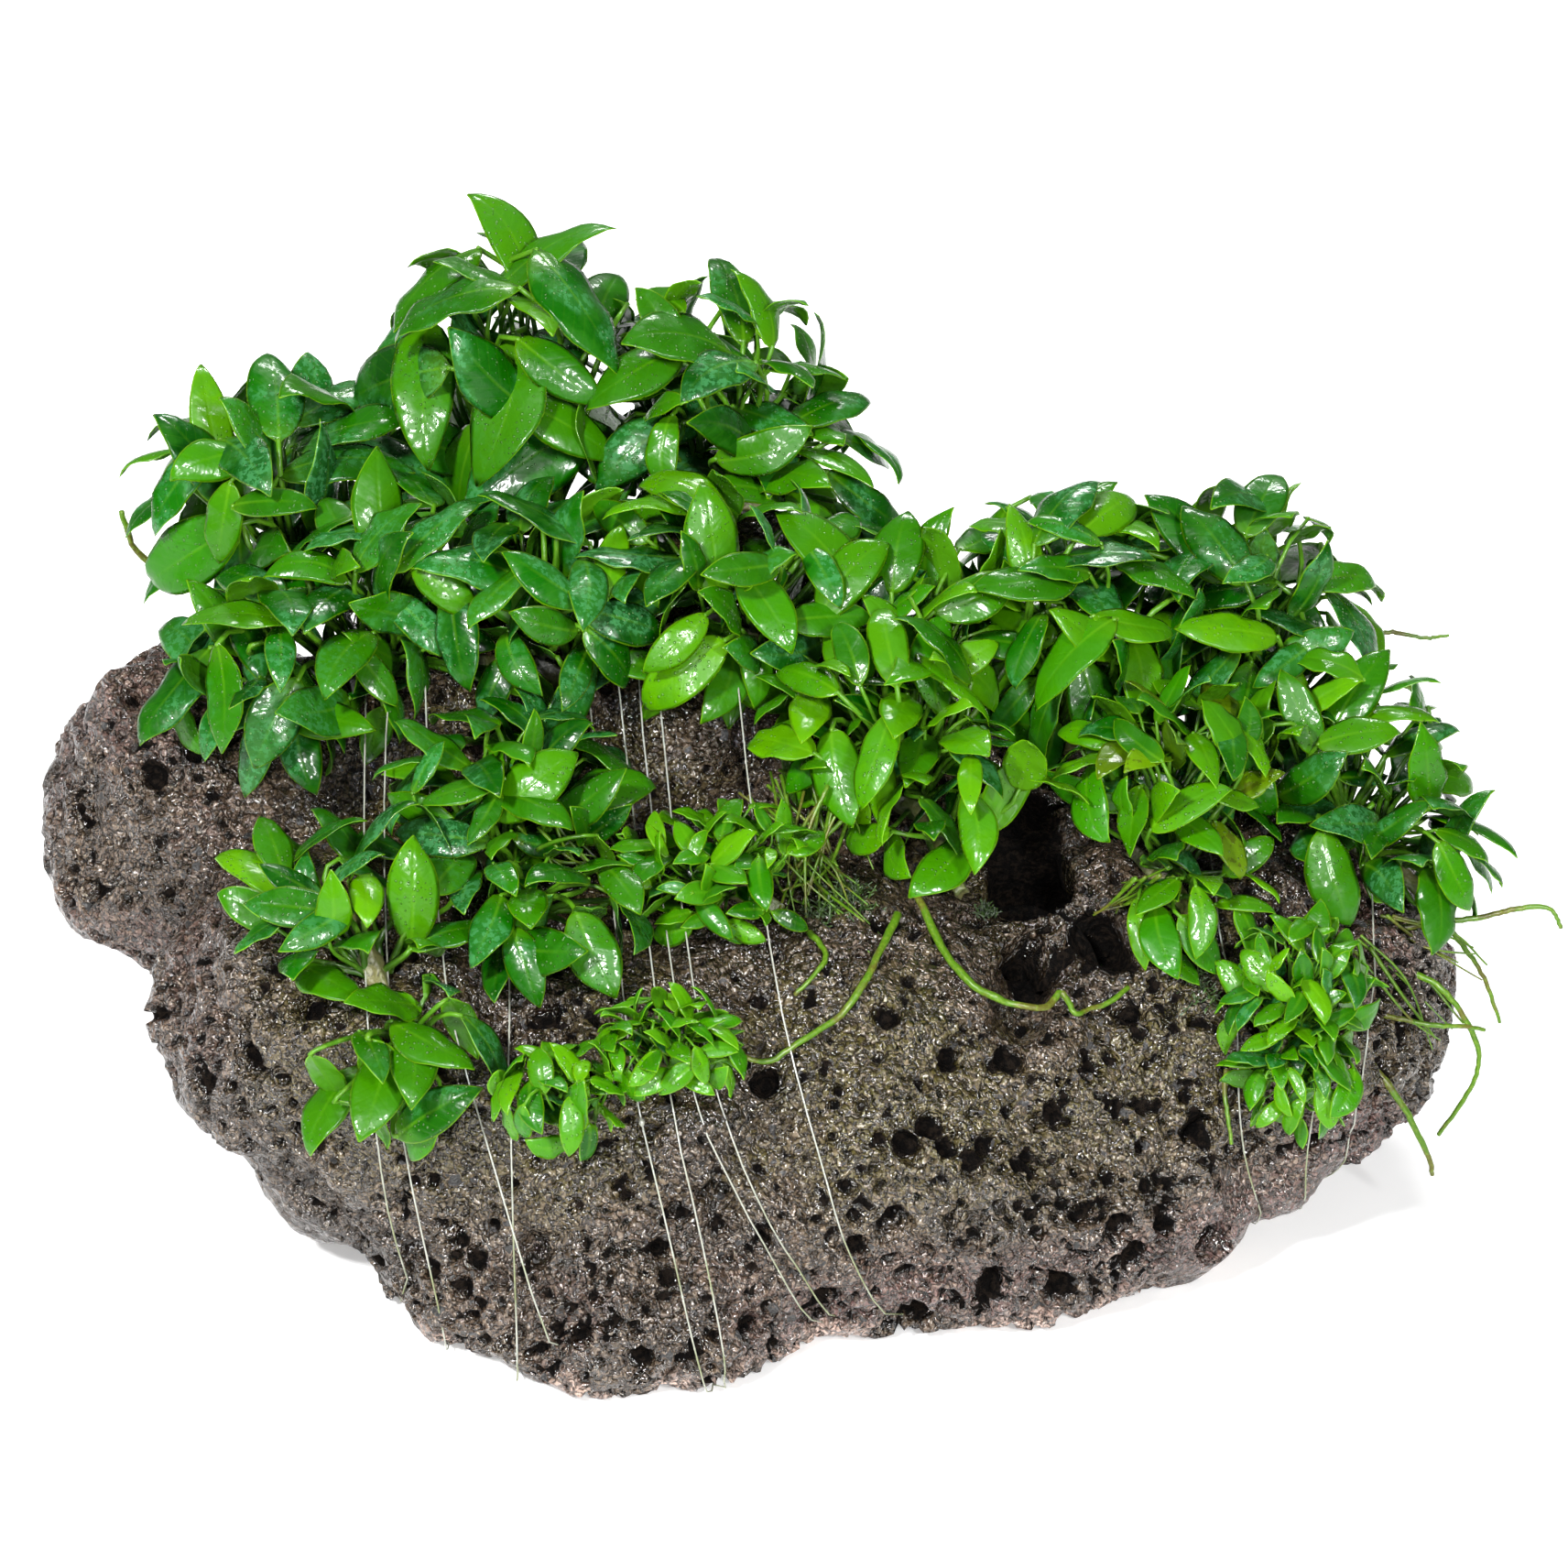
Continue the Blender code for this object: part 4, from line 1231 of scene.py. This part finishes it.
def add_roots(nodes):
    material = root_material()
    stone = tree_of(*world_arrays(nodes["stone"]))
    for order, (name, radius, lies, points) in enumerate(ROOTS):
        rng = np.random.default_rng(300 + order)
        route = smooth_route(points, 9) * MM
        if lies:
            for index, place in enumerate(route):
                spot, normal, _, _ = stone.find_nearest(Vector(place))
                lift = (Vector(place) - spot).dot(normal)
                lift = min(max(lift, (radius + 0.1) * MM), 2.5 * MM)
                route[index] = np.array(spot + normal * lift)
            for _ in range(3):
                route[1:-1] = (route[:-2] + 2 * route[1:-1] + route[2:]) / 4
        run = np.linspace(0.0, 1.0, len(route))
        knobs = np.array([noise.noise(Vector(place) * 260.0) for place in route])
        route[1:-1] += rng.normal(size=(len(route) - 2, 3)) * 0.06 * MM
        thick = radius * MM * (1.0 - 0.42 * run) * (1.0 + 0.22 * knobs)
        builder = Builder()
        verts, faces = tube(route, thick, 10)
        builder.add(verts, faces)
        piece = builder.build("living_root_" + name, [material])
        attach(piece, "root")
        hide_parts("root_" + name)


# Where moss and fine roots grow: place on the stone, spread, strand length and count.
TUFTS = [
    ((11, -22, 61), 3.5, 3.2, 70), ((6, -25, 61), 3.0, 3.0, 50), ((33, -16, 58), 2.0, 2.4, 30),
    ((1, -4, 64), 5.0, 5.0, 60), ((-45, -20, 66), 5.0, 5.0, 60),
    ((-20, -14, 64), 5.0, 5.0, 60), ((66, -31, 50), 2.5, 4.0, 30), ((30, 40, 68), 6.0, 5.0, 60),
    ((-60, 50, 70), 6.0, 5.0, 60), ((80, 20, 60), 5.0, 5.0, 50),
]
# Mats of fine roots: between which two places, how far they stray and how many.
MATS = [
    ((-2, -8, 72), (12, -24, 61), 5.0, 14), ((8, -12, 74), (2, -26, 61), 4.0, 10),
    ((60, -24, 66), (52, -18, 58), 3.0, 10), ((92, -18, 50), (106, -22, 34), 3.5, 5),
    ((96, -10, 50), (112, -12, 42), 3.0, 5), ((-40, -18, 74), (-30, -22, 66), 4.0, 12),
    ((20, 46, 82), (24, 52, 64), 5.0, 14), ((-70, 50, 84), (-72, 58, 70), 5.0, 14),
]


def add_moss(nodes):
    """Short branching strands that stand on the stone."""
    stone = tree_of(*world_arrays(nodes["stone"]))
    rng = np.random.default_rng(500)
    builder = Builder()
    for centre, spread, length, count in TUFTS:
        for _ in range(count):
            place = (np.array(centre) + rng.normal(size=3) * spread * 0.5) * MM
            spot, normal, _, _ = stone.find_nearest(Vector(place))
            foot, out = np.array(spot), np.array(normal)
            lean = unit(out + rng.normal(size=3) * 0.7)
            reach = length * (0.5 + 0.7 * rng.random()) * MM
            droop = rng.normal(size=3) * 0.35 - 0.25 * UP
            t = np.linspace(0.0, 1.0, 5)[:, None]
            route = foot - out * 0.6 * MM + reach * (t * lean + t ** 2 * droop)
            verts, faces = tube(route, np.linspace(0.16, 0.07, 5) * MM, 4)
            builder.add(verts, faces)
            for share in (0.45, 0.65, 0.85):
                here = foot - out * 0.6 * MM + reach * (share * lean + share ** 2 * droop)
                side = unit(np.cross(lean, rng.normal(size=3)) + 0.7 * lean)
                twig = here + side * np.linspace(0.0, 0.28, 3)[:, None] * reach
                verts, faces = tube(twig, np.array([0.11, 0.15, 0.05]) * MM, 4)
                builder.add(verts, faces)
    piece = builder.build("moss_tufts", [moss_material()])
    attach(piece, "root")


def add_root_mats():
    """Thin young roots between the rhizomes and the stone."""
    rng = np.random.default_rng(600)
    builder = Builder()
    for start, end, stray, count in MATS:
        for _ in range(count):
            first = np.array(start) + rng.normal(size=3) * stray * 0.6
            last = np.array(end) + rng.normal(size=3) * stray * 0.6
            middle = (first + last) / 2 + rng.normal(size=3) * stray * 0.5
            route = smooth_route([first, middle, last], 6) * MM
            thick = np.linspace(0.36, 0.16, len(route)) * (0.7 + 0.6 * rng.random()) * MM
            verts, faces = tube(route, thick, 5)
            builder.add(verts, faces)
    piece = builder.build("fine_roots", [root_material()])
    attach(piece, "root")


# ---------------------------------------------------------------- the scene


def main():
    nodes = frame["nodes"]
    add_camera()
    add_studio()
    skin = add_stone(nodes)
    add_foliage(nodes)
    add_rhizomes(nodes)
    add_roots(nodes)
    add_lines(nodes, skin)
    add_moss(nodes)
    add_root_mats()


main()
